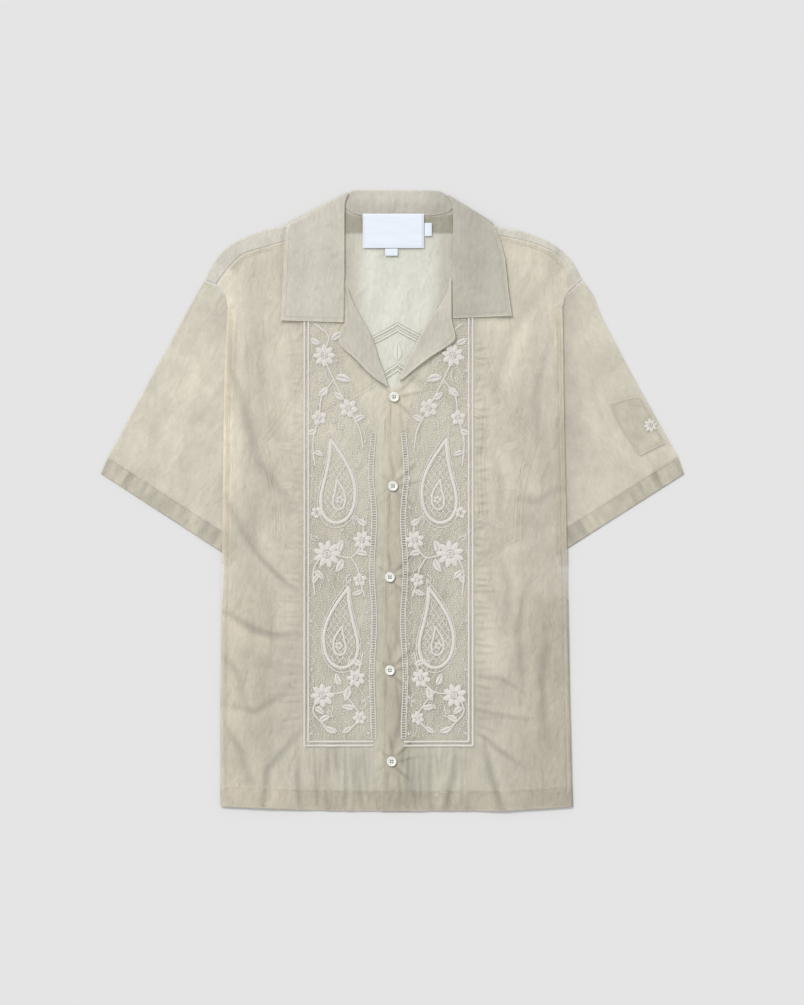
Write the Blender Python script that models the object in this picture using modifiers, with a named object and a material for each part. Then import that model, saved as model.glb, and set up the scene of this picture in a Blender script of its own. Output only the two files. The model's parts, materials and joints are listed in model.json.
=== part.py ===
# Short-sleeve shirt with a camp collar, buttoned and laid flat with its front up.
# Metres, +Z up. +Y runs from the hem to the collar, +X to the right as seen from above.
# The origin is the middle of the garment's outline, on the surface that it lies on.
# Tables are in millimetres; each holds a row per column, row or section of its cloth.

import math

import bmesh
import bpy
from mathutils import Vector

MM = 0.001

# Driving sizes, millimetres
WALL = 1.0            # cloth with its turnings
GAP = 0.3             # air between two layers and at each seam
PITCH = WALL + GAP    # one layer to the next
HALF_WALL = WALL / 2
TURN = PITCH / 2      # radius of a fold between two neighbouring layers
WIDE_TURN = 3 * TURN  # radius of a fold that goes round two more layers
EASE = 0.35           # more air where one bent layer lies on another
TUCK = 56             # width of the side strips tucked under the body
BACK_TUCK_RAMP = (70, 110)   # where the back comes down again past the tucked strips
FRONT_TUCK_RAMP = (80, 120)  # where the front does
UNDERARM = (-76, -98)        # between the armhole and the first row of the tucked sides
FRONT_UNDERARM = (-40, -76)  # where the front starts to rise over those sides
ARMHOLE_RAMP = (20, 50)      # where the front comes down again past the sleeve
ARMHOLE_TURN = 10     # cloth turned under along the front's armhole
PLACKET_RAMP = (28, 52)      # where the right front comes down past the button stand
HEM_GAP = 1.5         # how much shorter the back's hem is than the front's
COLLAR_LIFT_LEFT = (-152, -126)   # where the layers climb over the collar's hidden leaf
COLLAR_LIFT_RIGHT = (121, 147)
COLLAR_LIFT_UP = (266, 296)
COLLAR_LIFT_REACH = 8             # how much further down the front starts to climb
SHOULDER_DROPS = ((224, 240), (240, 250))   # the front comes down over these, half in each
FOLDS_FROM_SIDE = (12, 28)        # folds fade out towards the side folds
FOLDS_FROM_PLACKET = (26, 44)     # and towards the placket's middle
PLACKET_MIDDLE = 5
STRIP_TOP = -97       # a front's rows below this have a tucked strip
BACK_STRIP_TOP = -100
SHOULDER_START = 224  # a front's rows above this have no strip
FAN_START = 130       # the front's rows bend towards the shoulder seam from here up
PLAIN_TOP = 96        # a front's rows up to here come from PANEL_ROWS
BACK_EASE = 80        # how far in the back's columns follow its side
STRIP_PARTS = (0.35, 0.7, 1)      # columns of a tucked strip, from its fold inwards
SLEEVE_ROWS = 12
SLEEVE_OUTWARD = (0.88, 0.475)    # square to a sleeve's outer fold
SLEEVE_FOLD_PARTS = (0.15, 0.8)   # folds fade out past these parts of its width
BUTTON_RADIUS = 5.75
BUTTON_THICKNESS = 2.4
BUTTON_HOLE_RADIUS = 0.85
BUTTON_HOLE_OFFSET = 1.35
BUTTON_SIDES = 20
# Parts of a button's radius and thickness, from the middle of its face to that of its back
BUTTON_PROFILE = ((0, 0.72), (0.62, 0.72), (0.78, 1), (1, 0.62), (0.86, 0), (0, 0))

# Rows of a body panel, hem to shoulder: heights up its side
PANEL_ROWS = (
    -330, -305, -280, -255, -230, -205, -180, -155, -132, -114, -98.5, -74, -50,
    -24, 2, 28, 54, 80, 106, 132, 158, 182, 204, 224, 240,
)
BACK_LAST_ROW = 250

# Side folds of the body: y, left x, right x
SIDE_FOLDS = (
    (-361, -200, 209.5),
    (-231, -200, 206),
    (-69, -198, 203),
    (117, -196, 199),
    (186, -194, 198.5),
    (224, -191.5, 197.4),
    (240, -193, 200),
    (250.6, -203.6, 212.8),
)

# Where the back panel meets the sleeves, above the underarm: y, left x, right x
BACK_ARMHOLES = (
    (-76, -181.3, 189.2),
    (224, -181.3, 186.3),
    (240, -193.4, 200.7),
    (250, -203.6, 213),
    (256.5, -217.5, 219.9),
)

# Hem of the front: x, y
HEM = (
    (-201, -354.5),
    (-64, -360),
    (126, -360),
    (210, -354.5),
)

# Rows of the fronts above the plain stretch, where they fan out to the shoulder:
# y at the side fold; left front's edge x, y; right front's edge x, y
FRONT_TOP_ROWS = (
    (106, 22, 117, -6.5, 117),
    (132, -7, 132.5, 6.5, 137),
    (156, -18.5, 160.5, 20, 163),
    (178, -27.5, 188.5, 31.4, 185),
    (196, -39.5, 211, 43.4, 207),
    (211, -49.5, 230, 57.3, 225.6),
    (222, -59, 250.5, 66.5, 242.3),
    (230, -65.2, 255.4, 73.8, 266.6),
    (236, -65.3, 276, 79.9, 271),
    (243, -65.6, 300, 80, 296),
    (250.6, -66, 323.5, 80.2, 321.6),
)

# Front edges below the break: y, left front's x, right front's x
FRONT_EDGES = (
    (-360, 21, -13.3),
    (-200, 21, -13.9),
    (-115, 21.5, -9.9),
    (117, 22, -6.5),
)

# Shoulder seams, armhole to neck: part, x, y
SHOULDER_SEAMS = {
    "left": (
        (0, -203.6, 250.6),
        (0.12, -190, 270.5),
        (0.25, -174, 285.6),
        (0.4, -150, 293.4),
        (0.57, -126, 300.3),
        (0.78, -96, 311.6),
        (1, -66, 323.5),
    ),
    "right": (
        (0, 212.8, 250.6),
        (0.1, 202, 272.6),
        (0.22, 186, 288.6),
        (0.36, 166, 297.4),
        (0.52, 144, 303.3),
        (0.71, 119, 307.6),
        (1, 80.2, 321.6),
    ),
}
FRONT_COLUMNS = 18

# Columns of the back: x at the hem, x and y at the shoulder fold or neck seam,
# x and y at the shoulder seam (None at the neck)
BACK_COLUMNS = (
    (-199, -217.5, 256.5, -204.8, 252.2),
    (-186, -209, 274, -190.4, 271.6),
    (-172, -195.5, 290.6, -174.3, 286.6),
    (-155, -174, 304.5, -150.2, 294.4),
    (-136, -150, 313.5, -126.2, 301.3),
    (-115, -124, 320, -107, 308.5),
    (-94, -96, 334.1, -86, 316.6),
    (-76, -66.5, 348.8, -66.5, 324.6),
    (-60, -61, 340, None, None),
    (-42, -54, 334, None, None),
    (-22, -33, 329.3, None, None),
    (6, 6, 328.3, None, None),
    (34, 42, 329.3, None, None),
    (54, 69, 332.5, None, None),
    (72, 75.5, 337, None, None),
    (88, 80.5, 343.6, 80.9, 322.8),
    (106, 100, 331.6, 101, 315.4),
    (126, 122, 318.2, 121, 308.6),
    (146, 146, 313.5, 144.6, 304.2),
    (165, 173.5, 304.3, 166.6, 298.2),
    (182, 193.5, 292.6, 187, 289),
    (196, 208.5, 278, 203.4, 273.4),
    (208, 219.9, 256.9, 214.2, 252.2),
)

# Sleeves, as seen from above. Outer fold from the shoulder to the cuff: part, x, y.
# Armhole edge from the outer fold inwards: part, x, y.
SLEEVES = {
    "left": {
        "outer": (
            (0, -218.8, 255.2),
            (0.09, -228.8, 237.5),
            (0.5, -281.8, 140.5),
            (0.97, -337, 38),
            (1, -338.6, 31.5),
        ),
        "armhole": (
            (0, -218.8, 255.2),
            (0.36, -204.6, 249.2),
            (0.68, -194.3, 238.7),
            (1, -181.8, 222.4),
        ),
        "inner_cuff": (-181.8, -70.2),
    },
    "right": {
        "outer": (
            (0, 221.4, 255.6),
            (0.09, 233.6, 237.5),
            (0.18, 243.4, 213),
            (0.5, 277.8, 147),
            (0.97, 338.8, 38),
            (1, 338.4, 31.5),
        ),
        "armhole": (
            (0, 221.4, 255.6),
            (0.36, 214.2, 249.4),
            (0.68, 201.8, 238.7),
            (1, 186.8, 222.4),
        ),
        "inner_cuff": (189.8, -63.2),
    },
}
SLEEVE_PARTS = (1, 0.84, 0.68, 0.52, 0.36, 0.2, 0.08, 0)

# Collar, left front end round the neck to the right front end.
# roll x, y; stand seam x, y; outer edge x, y; turn about the neck: 90 in front, -90 behind
COLLAR_SECTIONS = (
    (-55.6, 206.2, -64.5, 206.2, -130, 208.5, 90),
    (-55.2, 230, -64.5, 230, -128.5, 230, 90),
    (-55, 257, -64.5, 257, -127.3, 256, 90),
    (-55, 281, -64.7, 281, -126, 281, 90),
    (-55, 306, -64.9, 304, -124.8, 302, 90),
    (-55, 328, -65, 322, -123.6, 311, 90),
    (-54.6, 344, -65, 337, -122, 317, 90),
    (-51.4, 355.4, -61.2, 350.4, -119.9, 320.8, 89),
    (-51.4, 355.4, -61.2, 350.4, -119.9, 320.8, 45),
    (-51.4, 355.4, -61.2, 350.4, -119.9, 320.8, 0),
    (-51.4, 355.4, -61.2, 350.4, -119.9, 320.8, -45),
    (-51.4, 355.4, -61.2, 350.4, -119.9, 320.8, -89),
    (-46.5, 359.2, -55, 341, -104, 311, -90),
    (-40, 360.2, -48, 334.6, -78, 310.5, -90),
    (-28, 360.2, -32, 330.6, -42, 310.5, -90),
    (6, 360, 6, 329.7, 6, 310.5, -90),
    (38, 359.8, 40, 330.6, 44, 310.5, -90),
    (52, 359.2, 63, 334.4, 76, 310.5, -90),
    (59.5, 356.6, 69, 338.6, 98, 311, -90),
    (64.2, 352.5, 73.6, 346.7, 115.3, 320.9, -89),
    (64.2, 352.5, 73.6, 346.7, 115.3, 320.9, -45),
    (64.2, 352.5, 73.6, 346.7, 115.3, 320.9, 0),
    (64.2, 352.5, 73.6, 346.7, 115.3, 320.9, 45),
    (64.2, 352.5, 73.6, 346.7, 115.3, 320.9, 89),
    (68.6, 342, 79, 335, 118.4, 315, 90),
    (69.6, 324, 79, 318, 122.5, 306, 90),
    (69.6, 305, 79, 302, 126.6, 295, 90),
    (69.4, 288, 79, 287, 130, 281, 90),
    (69.3, 272.5, 79, 272.5, 132, 264, 90),
    (69.2, 240, 79, 240, 135, 237, 90),
    (69, 211.2, 79, 211.2, 138.4, 214, 90),
)
COLLAR_STAND = (2, 28)   # first and last section that has a stand
FOLD_TURN = 89           # a section this far round or less lies on a shoulder fold
SHOULDER_SLOPES = {"left": Vector((-0.451, 0.893)), "right": Vector((0.526, 0.850))}

# Revers, break to gorge: roll x, y; outer edge x, y
REVERS = {
    "left": (
        (-4, 132, -8.6, 133.5),
        (-8.6, 147, -24, 144.6),
        (-14.5, 163, -42.3, 163),
        (-21.2, 184, -62.4, 185),
        (-29.2, 201.5, -58, 202.9),
        (-34.4, 210, -54.9, 206.4),
        (-45.8, 231.4, -54.2, 231),
        (-51.6, 246, -54.1, 246.5),
    ),
    "right": (
        (5.8, 140.6, 11.6, 140.4),
        (10, 149, 26, 152.6),
        (16.8, 163, 43.4, 166),
        (25.6, 181, 61.4, 177.5),
        (33.4, 196, 73, 188.6),
        (39, 205.4, 69.2, 206.6),
        (43.6, 212.2, 68.3, 211.6),
        (53.9, 226, 68.2, 226),
        (63.2, 243, 68, 243),
        (66, 257, 68.1, 257.4),
    ),
}
REVER_PARTS = (0, 0.2, 0.4, 0.6, 0.8, 1)

# Largest folds of the fronts: start x, y; end x, y; half width; height
FRONT_FOLDS = (
    (-196, -161, -110, -195, 9, 1.9),
    (-192, 34, -112, -100, 10, 1.4),
    (-113, -262, -148, -338, 9, 1.6),
    (-184, 226, -168, 96, 9, 1.5),
    (-150, 40, -140, -70, 10, 1.0),
    (-165, -230, -158, -345, 10, 1.2),
    (-72, -288, -74, -352, 7, 1.6),
    (-50, -292, -48, -354, 7, 1.3),
    (36, -292, 33, -354, 7, 1.5),
    (56, -290, 60, -354, 7, 1.5),
    (80, -290, 84, -354, 7, 1.3),
    (98, -284, 131, -346, 9, 1.7),
    (44, -150, 46, -236, 8, 1.2),
    (154, 196, 138, 80, 11, 1.3),
    (178, 190, 172, 30, 10, 1.2),
    (150, -40, 142, -190, 11, 1.2),
    (168, -210, 164, -335, 10, 1.2),
)

# Largest folds of the sleeves' upper layers, as above
SLEEVE_FOLDS = {
    "left": (
        (-222, 232, -300, 40, 9, 1.4),
        (-212, 190, -262, 0, 9, 1.6),
        (-206, 120, -226, -20, 8, 1.2),
    ),
    "right": (
        (224, 232, 262, 150, 9, 1.3),
        (212, 180, 262, 10, 9, 1.5),
        (210, 110, 226, -20, 8, 1.2),
    ),
}

# Patch pocket on the right sleeve: its corners, top inner, top outer, bottom outer, bottom inner
POCKET_CORNERS = ((250.5, 113), (285.5, 122.5), (315.5, 66.5), (287, 51.8))
POCKET_BOW = 3        # how far the inner edge swings in at its middle
POCKET_STEPS = 6

# Neck labels: left, bottom, right, top
LABELS = {
    "label_main": (-34.5, 292.5, 36.5, 332.4),
    "label_size": (-8.5, 283.3, 6, 291.9),
    "label_side": (37.1, 306.4, 45.8, 321.7),
}
LABEL_STEP = 10

BUTTON_PLACES = ((2, 120), (0.6, 16.8), (-3, -88.7), (-3, -196.6), (-1, -302.2))

# Colours, linear red, green, blue
CLOTH_COLOUR = (0.50, 0.46, 0.37)
SLEEVE_COLOUR = (0.60, 0.56, 0.46)
BACK_COLOUR = (0.66, 0.64, 0.55)
LABEL_COLOUR = (0.84, 0.87, 0.90)
BUTTON_COLOUR = (0.83, 0.82, 0.78)


def level(number):
    """Middle of a layer's wall, counted from the layer on the floor."""
    return HALF_WALL + number * PITCH


def ramp(value, start, end):
    """Smooth step from 0 at start to 1 at end."""
    part = min(max((value - start) / (end - start), 0), 1)
    return part * part * (3 - 2 * part)


def mix(a, b, part):
    return a + (b - a) * part


def read(table, key, column):
    """Value of a column at a key of the table's first column, straight between rows."""
    if key <= table[0][0]:
        return table[0][column]
    for low, high in zip(table, table[1:]):
        if key <= high[0]:
            part = (key - low[0]) / (high[0] - low[0])
            return mix(low[column], high[column], part)
    return table[-1][column]


def side_x(y, side):
    return read(SIDE_FOLDS, y, 1 if side == "left" else 2)


def from_side(x, y):
    """Distance inwards from the nearer side fold."""
    return min(x - side_x(y, "left"), side_x(y, "right") - x)


def collar_lift(x, y):
    """Height that the collar's leaf behind the neck gives to the layers over it."""
    across = ramp(x, *COLLAR_LIFT_LEFT) * (1 - ramp(x, *COLLAR_LIFT_RIGHT))
    return PITCH * ramp(y, *COLLAR_LIFT_UP) * across


def fold_height(x, y, folds):
    """Sum of the soft ridges that lie along the folds' lines."""
    total = 0
    for x1, y1, x2, y2, half_width, height in folds:
        run = Vector((x2 - x1, y2 - y1))
        offset = Vector((x - x1, y - y1))
        part = offset.dot(run) / run.length_squared
        near = run * min(max(part, 0), 1)
        distance = (offset - near).length / half_width
        total += height * math.exp(-distance * distance)
    return total


def back_z(x, y):
    """Middle of the back's wall, which rises over the strips tucked under its sides."""
    rise = ramp(y, *UNDERARM) * (1 - ramp(from_side(x, y), *BACK_TUCK_RAMP))
    return level(0) + 2 * PITCH * rise + collar_lift(x, y)


def front_z(x, y):
    """Middle of a front's wall, without the overlap of the button stand."""
    low = ramp(y, *FRONT_UNDERARM)
    start = mix(ARMHOLE_RAMP[0], FRONT_TUCK_RAMP[0], low)
    end = mix(ARMHOLE_RAMP[1], FRONT_TUCK_RAMP[1], low)
    shoulder = 1 - sum(ramp(y, *drop) for drop in SHOULDER_DROPS) / len(SHOULDER_DROPS)
    rise = (1 - ramp(from_side(x, y), start, end)) * shoulder
    loose = ramp(from_side(x, y), *FOLDS_FROM_SIDE) * ramp(abs(x - PLACKET_MIDDLE), *FOLDS_FROM_PLACKET)
    folds = fold_height(x, y, FRONT_FOLDS) * loose
    return level(1) + 2 * PITCH * rise + collar_lift(x, y + COLLAR_LIFT_REACH) + folds


def front_right_z(x, y):
    return front_z(x, y) + PITCH * (1 - ramp(x, *PLACKET_RAMP))


def make_material(name, colour, roughness):
    material = bpy.data.materials.new(name)
    material.use_nodes = True
    shader = material.node_tree.nodes["Principled BSDF"]
    shader.inputs["Base Color"].default_value = (*colour, 1)
    shader.inputs["Roughness"].default_value = roughness
    shader.inputs["Metallic"].default_value = 0
    return material


def add_object(name, mesh, collection, material):
    mesh.materials.clear()
    mesh.materials.append(material)
    piece = bpy.data.objects.new(name, mesh)
    collection.objects.link(piece)
    return piece


def sheet(name, points, keep, collection, material, even=True):
    """Cloth wall on a grid of places in millimetres, rows of columns.

    keep(row, column) says whether the cell from that row and column on is cloth.
    """
    row_count = len(points)
    column_count = len(points[0])
    bm = bmesh.new()
    bmesh.ops.create_grid(bm, x_segments=column_count - 1, y_segments=row_count - 1, size=1)
    bm.verts.ensure_lookup_table()
    for row in range(row_count):
        for column in range(column_count):
            bm.verts[row * column_count + column].co = Vector(points[row][column]) * MM
    bm.verts.index_update()
    unwanted = []
    for face in bm.faces:
        corner = min(vert.index for vert in face.verts)
        if not keep(corner // column_count, corner % column_count):
            unwanted.append(face)
    bmesh.ops.delete(bm, geom=unwanted, context="FACES")
    mesh = bpy.data.meshes.new(name)
    bm.to_mesh(mesh)
    bm.free()
    mesh.shade_smooth()
    piece = add_object(name, mesh, collection, material)
    wall = piece.modifiers.new("Wall", "SOLIDIFY")
    wall.thickness = WALL * MM
    wall.offset = 0
    wall.use_even_offset = even
    return piece


def keep_all(row, column):
    return True


def side_wrap(fold_x, y, middle_z, radius, strip, side):
    """Places round a side fold and along the strip turned under, outwards to inwards."""
    inward = 1 if side == "left" else -1
    centre_x = fold_x + inward * (radius + HALF_WALL)
    places = []
    for degrees in (45, 0, -45, -90):
        angle = math.radians(degrees)
        x = centre_x - inward * radius * math.cos(angle)
        places.append((x, y, middle_z + radius * math.sin(angle)))
    for part in STRIP_PARTS:
        places.append((centre_x + inward * strip * part, y, middle_z - radius))
    return places


def front_rows(side):
    """Ends of a front's rows: y at the side fold, and x and y at its front edge."""
    column = 1 if side == "left" else 2
    rows = []
    for y in (read(HEM, side_x(HEM[0][1], side), 1), *PANEL_ROWS):
        if y < PLAIN_TOP:
            edge_x = read(FRONT_EDGES, y, column)
            edge_y = read(HEM, edge_x, 1) if not rows else y
            rows.append((y, edge_x, edge_y))
    for top_row in FRONT_TOP_ROWS:
        rows.append((top_row[0], top_row[2 * column - 1], top_row[2 * column]))
    return rows


def make_front(side, collection, material):
    height = front_z if side == "left" else front_right_z
    inward = 1 if side == "left" else -1
    seam = SHOULDER_SEAMS[side]
    seam_start = Vector(seam[0][1:])
    seam_end = Vector(seam[-1][1:])
    points = []
    zones = []
    for fold_y, edge_x, edge_y in front_rows(side):
        if fold_y < STRIP_TOP:
            zone, radius, strip, middle = "tuck", WIDE_TURN, TUCK, level(1.5)
        elif fold_y < SHOULDER_START:
            zone, radius, strip, middle = "armhole", TURN, ARMHOLE_TURN, level(2.5)
        else:
            zone, radius, strip, middle = "shoulder", 0, ARMHOLE_TURN, level(2)
        zones.append(zone)
        fold_x = side_x(fold_y, side)
        start = Vector((fold_x + inward * (radius + HALF_WALL * (zone != "shoulder")), fold_y))
        end = Vector((edge_x, edge_y))
        rising = ramp(fold_y, FAN_START, seam_start.y)
        row = []
        for column in range(FRONT_COLUMNS + 1):
            part = column / FRONT_COLUMNS
            on_seam = Vector((read(seam, part, 1), read(seam, part, 2)))
            spot = start.lerp(end, part) + (on_seam - seam_start.lerp(seam_end, part)) * rising
            if len(points) == 0:
                spot.y = read(HEM, spot.x, 1)
            row.append((spot.x, spot.y, height(spot.x, spot.y)))
        if zone != "shoulder":
            row[0] = (start.x, start.y, middle + radius)
        folds = side_wrap(fold_x, fold_y, middle, radius, strip, side)
        points.append(list(reversed(folds)) + row)
    wrap_count = len(folds)
    round_edge = wrap_count - 2

    def keep(row, column):
        if column >= wrap_count:
            return True
        if zones[row + 1] == "shoulder":
            return False
        below_underarm = zones[row + 1] == "tuck" and row + 2 < len(zones) and zones[row + 2] == "tuck"
        return column >= round_edge or below_underarm or zones[row] == "armhole"

    return sheet("front_" + side, points, keep, collection, material)


def make_back(collection, material):
    columns = BACK_COLUMNS
    first, last = 0, len(columns) - 1
    side_hem = read(HEM, columns[0][0], 1) + HEM_GAP
    side_top = columns[0][2]
    heights = (side_hem, *PANEL_ROWS, BACK_LAST_ROW, side_top)
    spans = [(y - side_hem) / (side_top - side_hem) for y in heights]
    points = []
    zones = []
    wrap_count = 0
    for span in spans:
        row = []
        wraps = {}
        for side, edge in (("left", first), ("right", last)):
            hem_y = read(HEM, columns[edge][0], 1) + HEM_GAP
            y = mix(hem_y, columns[edge][2], span)
            fold_x = side_x(y, side)
            inward = 1 if side == "left" else -1
            inner_fold = fold_x + inward * (WIDE_TURN - TURN)
            wraps[side] = side_wrap(inner_fold, y, level(1.5), TURN, TUCK, side)
            wrap_count = len(wraps[side])
            at_fold = inner_fold + inward * (TURN + HALF_WALL)
            at_armhole = read(BACK_ARMHOLES, y, 1 if side == "left" else 2)
            edge_x = mix(at_armhole, at_fold, ramp(y, *UNDERARM))
            straight_x = mix(columns[edge][0], columns[edge][1], span)
            wraps[side + "_shift"] = edge_x - straight_x
            fold_row_y = y
            if side == "left":
                zones.append("tuck" if y < BACK_STRIP_TOP else "plain")
        for hem_x, top_x, top_y, seam_x, seam_y in columns:
            hem_y = read(HEM, hem_x, 1) + HEM_GAP
            y = mix(hem_y, top_y, span)
            x = mix(hem_x, top_x, span)
            for side, edge in (("left", first), ("right", last)):
                near_side = max(0, 1 - abs(hem_x - columns[edge][0]) / BACK_EASE)
                x += wraps[side + "_shift"] * near_side
            row.append((x, y, back_z(x, y)))
        points.append(list(reversed(wraps["left"])) + row + wraps["right"])
        if fold_row_y < STRIP_TOP:
            for side, place in (("left", wrap_count), ("right", -wrap_count - 1)):
                x, y, z = points[-1][place]
                points[-1][place] = (x, y, level(2))
    main_rows = len(points)
    neck = [number for number, column in enumerate(columns) if column[3] is None]

    # The top row is pulled in to the start of the shoulder fold, then goes round it
    outlines = [Vector((column[1], column[2])) for column in columns]
    inwards = []
    for number in range(len(columns)):
        before = outlines[max(number - 1, 0)]
        after = outlines[min(number + 1, last)]
        run = (after - before).normalized()
        inwards.append(Vector((run.y, -run.x)))
    for degrees in (-90, -45, 0, 45, 90):
        angle = math.radians(degrees)
        row = []
        for number, column in enumerate(columns):
            x, y, z = points[main_rows - 1][wrap_count + number]
            if number not in neck:
                reach = TURN + HALF_WALL - TURN * math.cos(angle)
                spot = outlines[number] + inwards[number] * reach
                lift = collar_lift(column[1], column[2])
                x, y, z = spot.x, spot.y, level(0.5) + lift + TURN * math.sin(angle)
            row.append((x, y, z))
        ends = points[main_rows - 1]
        full = ends[:wrap_count] + row + ends[-wrap_count:]
        if degrees == -90:
            points[main_rows - 1] = full
        else:
            points.append(full)
    for part in STRIP_PARTS:
        row = []
        for number, column in enumerate(columns):
            x, y, z = points[main_rows - 1][wrap_count + number]
            if number not in neck:
                start = outlines[number] + inwards[number] * (TURN + HALF_WALL)
                spot = start.lerp(Vector((column[3], column[4])), part)
                x, y, z = spot.x, spot.y, level(1) + collar_lift(spot.x, spot.y) + EASE / 2 * part
            row.append((x, y, z))
        ends = points[main_rows - 1]
        points.append(ends[:wrap_count] + row + ends[-wrap_count:])

    def keep(row, column):
        in_panel = wrap_count <= column < wrap_count + last
        if row >= main_rows - 1:
            number = column - wrap_count
            return in_panel and number not in neck and number + 1 not in neck
        if in_panel:
            return True
        return zones[row] == "tuck" and zones[row + 1] == "tuck"

    return sheet("back", points, keep, collection, material)


def make_sleeve(side, collection, material):
    data = SLEEVES[side]
    folds = SLEEVE_FOLDS[side]
    outward = Vector(SLEEVE_OUTWARD)
    if side == "left":
        outward.x = -outward.x
    start_inner = Vector(data["armhole"][-1][1:])
    end_inner = Vector(data["inner_cuff"])
    points = []
    for number in range(SLEEVE_ROWS):
        span = number / (SLEEVE_ROWS - 1)
        outer = Vector((read(data["outer"], span, 1), read(data["outer"], span, 2)))
        centre = outer - outward * (TURN + HALF_WALL)
        inner = start_inner.lerp(end_inner, span)
        outer_start = Vector(data["outer"][0][1:])
        under = []
        upper = []
        for part in SLEEVE_PARTS:
            edge = Vector((read(data["armhole"], part, 1), read(data["armhole"], part, 2)))
            bow = edge - outer_start.lerp(start_inner, part)
            spot = centre.lerp(inner, part) + bow * (1 - span) ** 2
            under.append((spot.x, spot.y, level(0)))
            height = fold_height(spot.x, spot.y, folds)
            height *= ramp(part, 0, SLEEVE_FOLD_PARTS[0]) * ramp(part, 1, SLEEVE_FOLD_PARTS[1])
            upper.append((spot.x, spot.y, level(1) + height))
        turn = []
        for degrees in (-45, 0, 45):
            angle = math.radians(degrees)
            spot = centre + outward * TURN * math.cos(angle)
            turn.append((spot.x, spot.y, level(0.5) + TURN * math.sin(angle)))
        points.append(under + turn + list(reversed(upper)))
    return sheet("sleeve_" + side, points, keep_all, collection, material)


def make_collar(collection, material):
    points = []
    for section in COLLAR_SECTIONS:
        roll = Vector(section[0:2])
        seam = Vector(section[2:4])
        outer = Vector(section[4:6])
        turn = math.radians(section[6])
        slope = SHOULDER_SLOPES["left" if roll.x < 0 else "right"]
        flat = slope * math.cos(turn)
        normal = Vector((flat.x, flat.y, math.sin(turn)))
        inward = ((outer - roll).normalized() + (seam - roll).normalized()).normalized()
        on_fold = abs(section[6]) <= FOLD_TURN
        base = roll if on_fold else roll + inward * (TURN + HALF_WALL)
        in_front = section[6] > FOLD_TURN

        def place(spot, layers):
            axis_z = front_z(spot.x, spot.y) - TURN if in_front else level(1.5)
            return Vector((spot.x, spot.y, axis_z)) + normal * TURN * layers

        row = [place(seam.lerp(base, part), 1) for part in (0, 0.5, 1)]
        for degrees in (-45, 0, 45):
            angle = math.radians(degrees)
            back = Vector((-inward.x, -inward.y, 0)) * TURN * math.cos(angle)
            row.append(place(base, 2) + back + normal * TURN * math.sin(angle))
        ease = EASE / TURN if in_front else 0
        row += [place(base.lerp(outer, part), 3 + ease * part) for part in (0, 0.25, 0.5, 0.75, 1)]
        points.append([tuple(spot) for spot in row])
    stand_columns = 6

    def keep(row, column):
        has_stand = COLLAR_STAND[0] <= row < COLLAR_STAND[1]
        return has_stand or column >= stand_columns

    return sheet("collar", points, keep, collection, material, even=False)


def make_rever(side, collection, material):
    height = front_z if side == "left" else front_right_z
    points = []
    for roll_x, roll_y, edge_x, edge_y in REVERS[side]:
        edge = Vector((edge_x, edge_y))
        roll = Vector((roll_x, roll_y))
        inward = (edge - roll).normalized()
        radius = (PITCH + EASE) / 2
        base = roll + inward * (radius + HALF_WALL)
        row = []
        for part in REVER_PARTS:
            spot = edge.lerp(base, part)
            row.append((spot.x, spot.y, height(spot.x, spot.y) + PITCH + EASE))
        middle = height(base.x, base.y) + radius
        for degrees in (45, 0, -45, -90):
            angle = math.radians(degrees)
            spot = base - inward * radius * math.cos(angle)
            row.append((spot.x, spot.y, middle + radius * math.sin(angle)))
        points.append(row)
    return sheet("rever_" + side, points, keep_all, collection, material)


def make_pocket(collection, material):
    inner_top, outer_top, outer_bottom, inner_bottom = (Vector(c) for c in POCKET_CORNERS)
    points = []
    for row_number in range(POCKET_STEPS + 1):
        down = row_number / POCKET_STEPS
        start = inner_top.lerp(inner_bottom, down)
        start.x -= POCKET_BOW * math.sin(math.pi * down)
        end = outer_top.lerp(outer_bottom, down)
        row = []
        for column in range(POCKET_STEPS + 1):
            spot = start.lerp(end, column / POCKET_STEPS)
            z = level(2) + EASE + fold_height(spot.x, spot.y, SLEEVE_FOLDS["right"])
            row.append((spot.x, spot.y, z))
        points.append(row)
    return sheet("sleeve_pocket", points, keep_all, collection, material)


def make_label(name, collection, material):
    left, bottom, right, top = LABELS[name]
    columns = max(1, round((right - left) / LABEL_STEP))
    rows = max(1, round((top - bottom) / LABEL_STEP))
    points = []
    for row_number in range(rows + 1):
        y = mix(bottom, top, row_number / rows)
        row = []
        for column in range(columns + 1):
            x = mix(left, right, column / columns)
            row.append((x, y, back_z(x, y + LABEL_STEP) + PITCH + EASE))
        points.append(row)
    return sheet(name, points, keep_all, collection, material)


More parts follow.
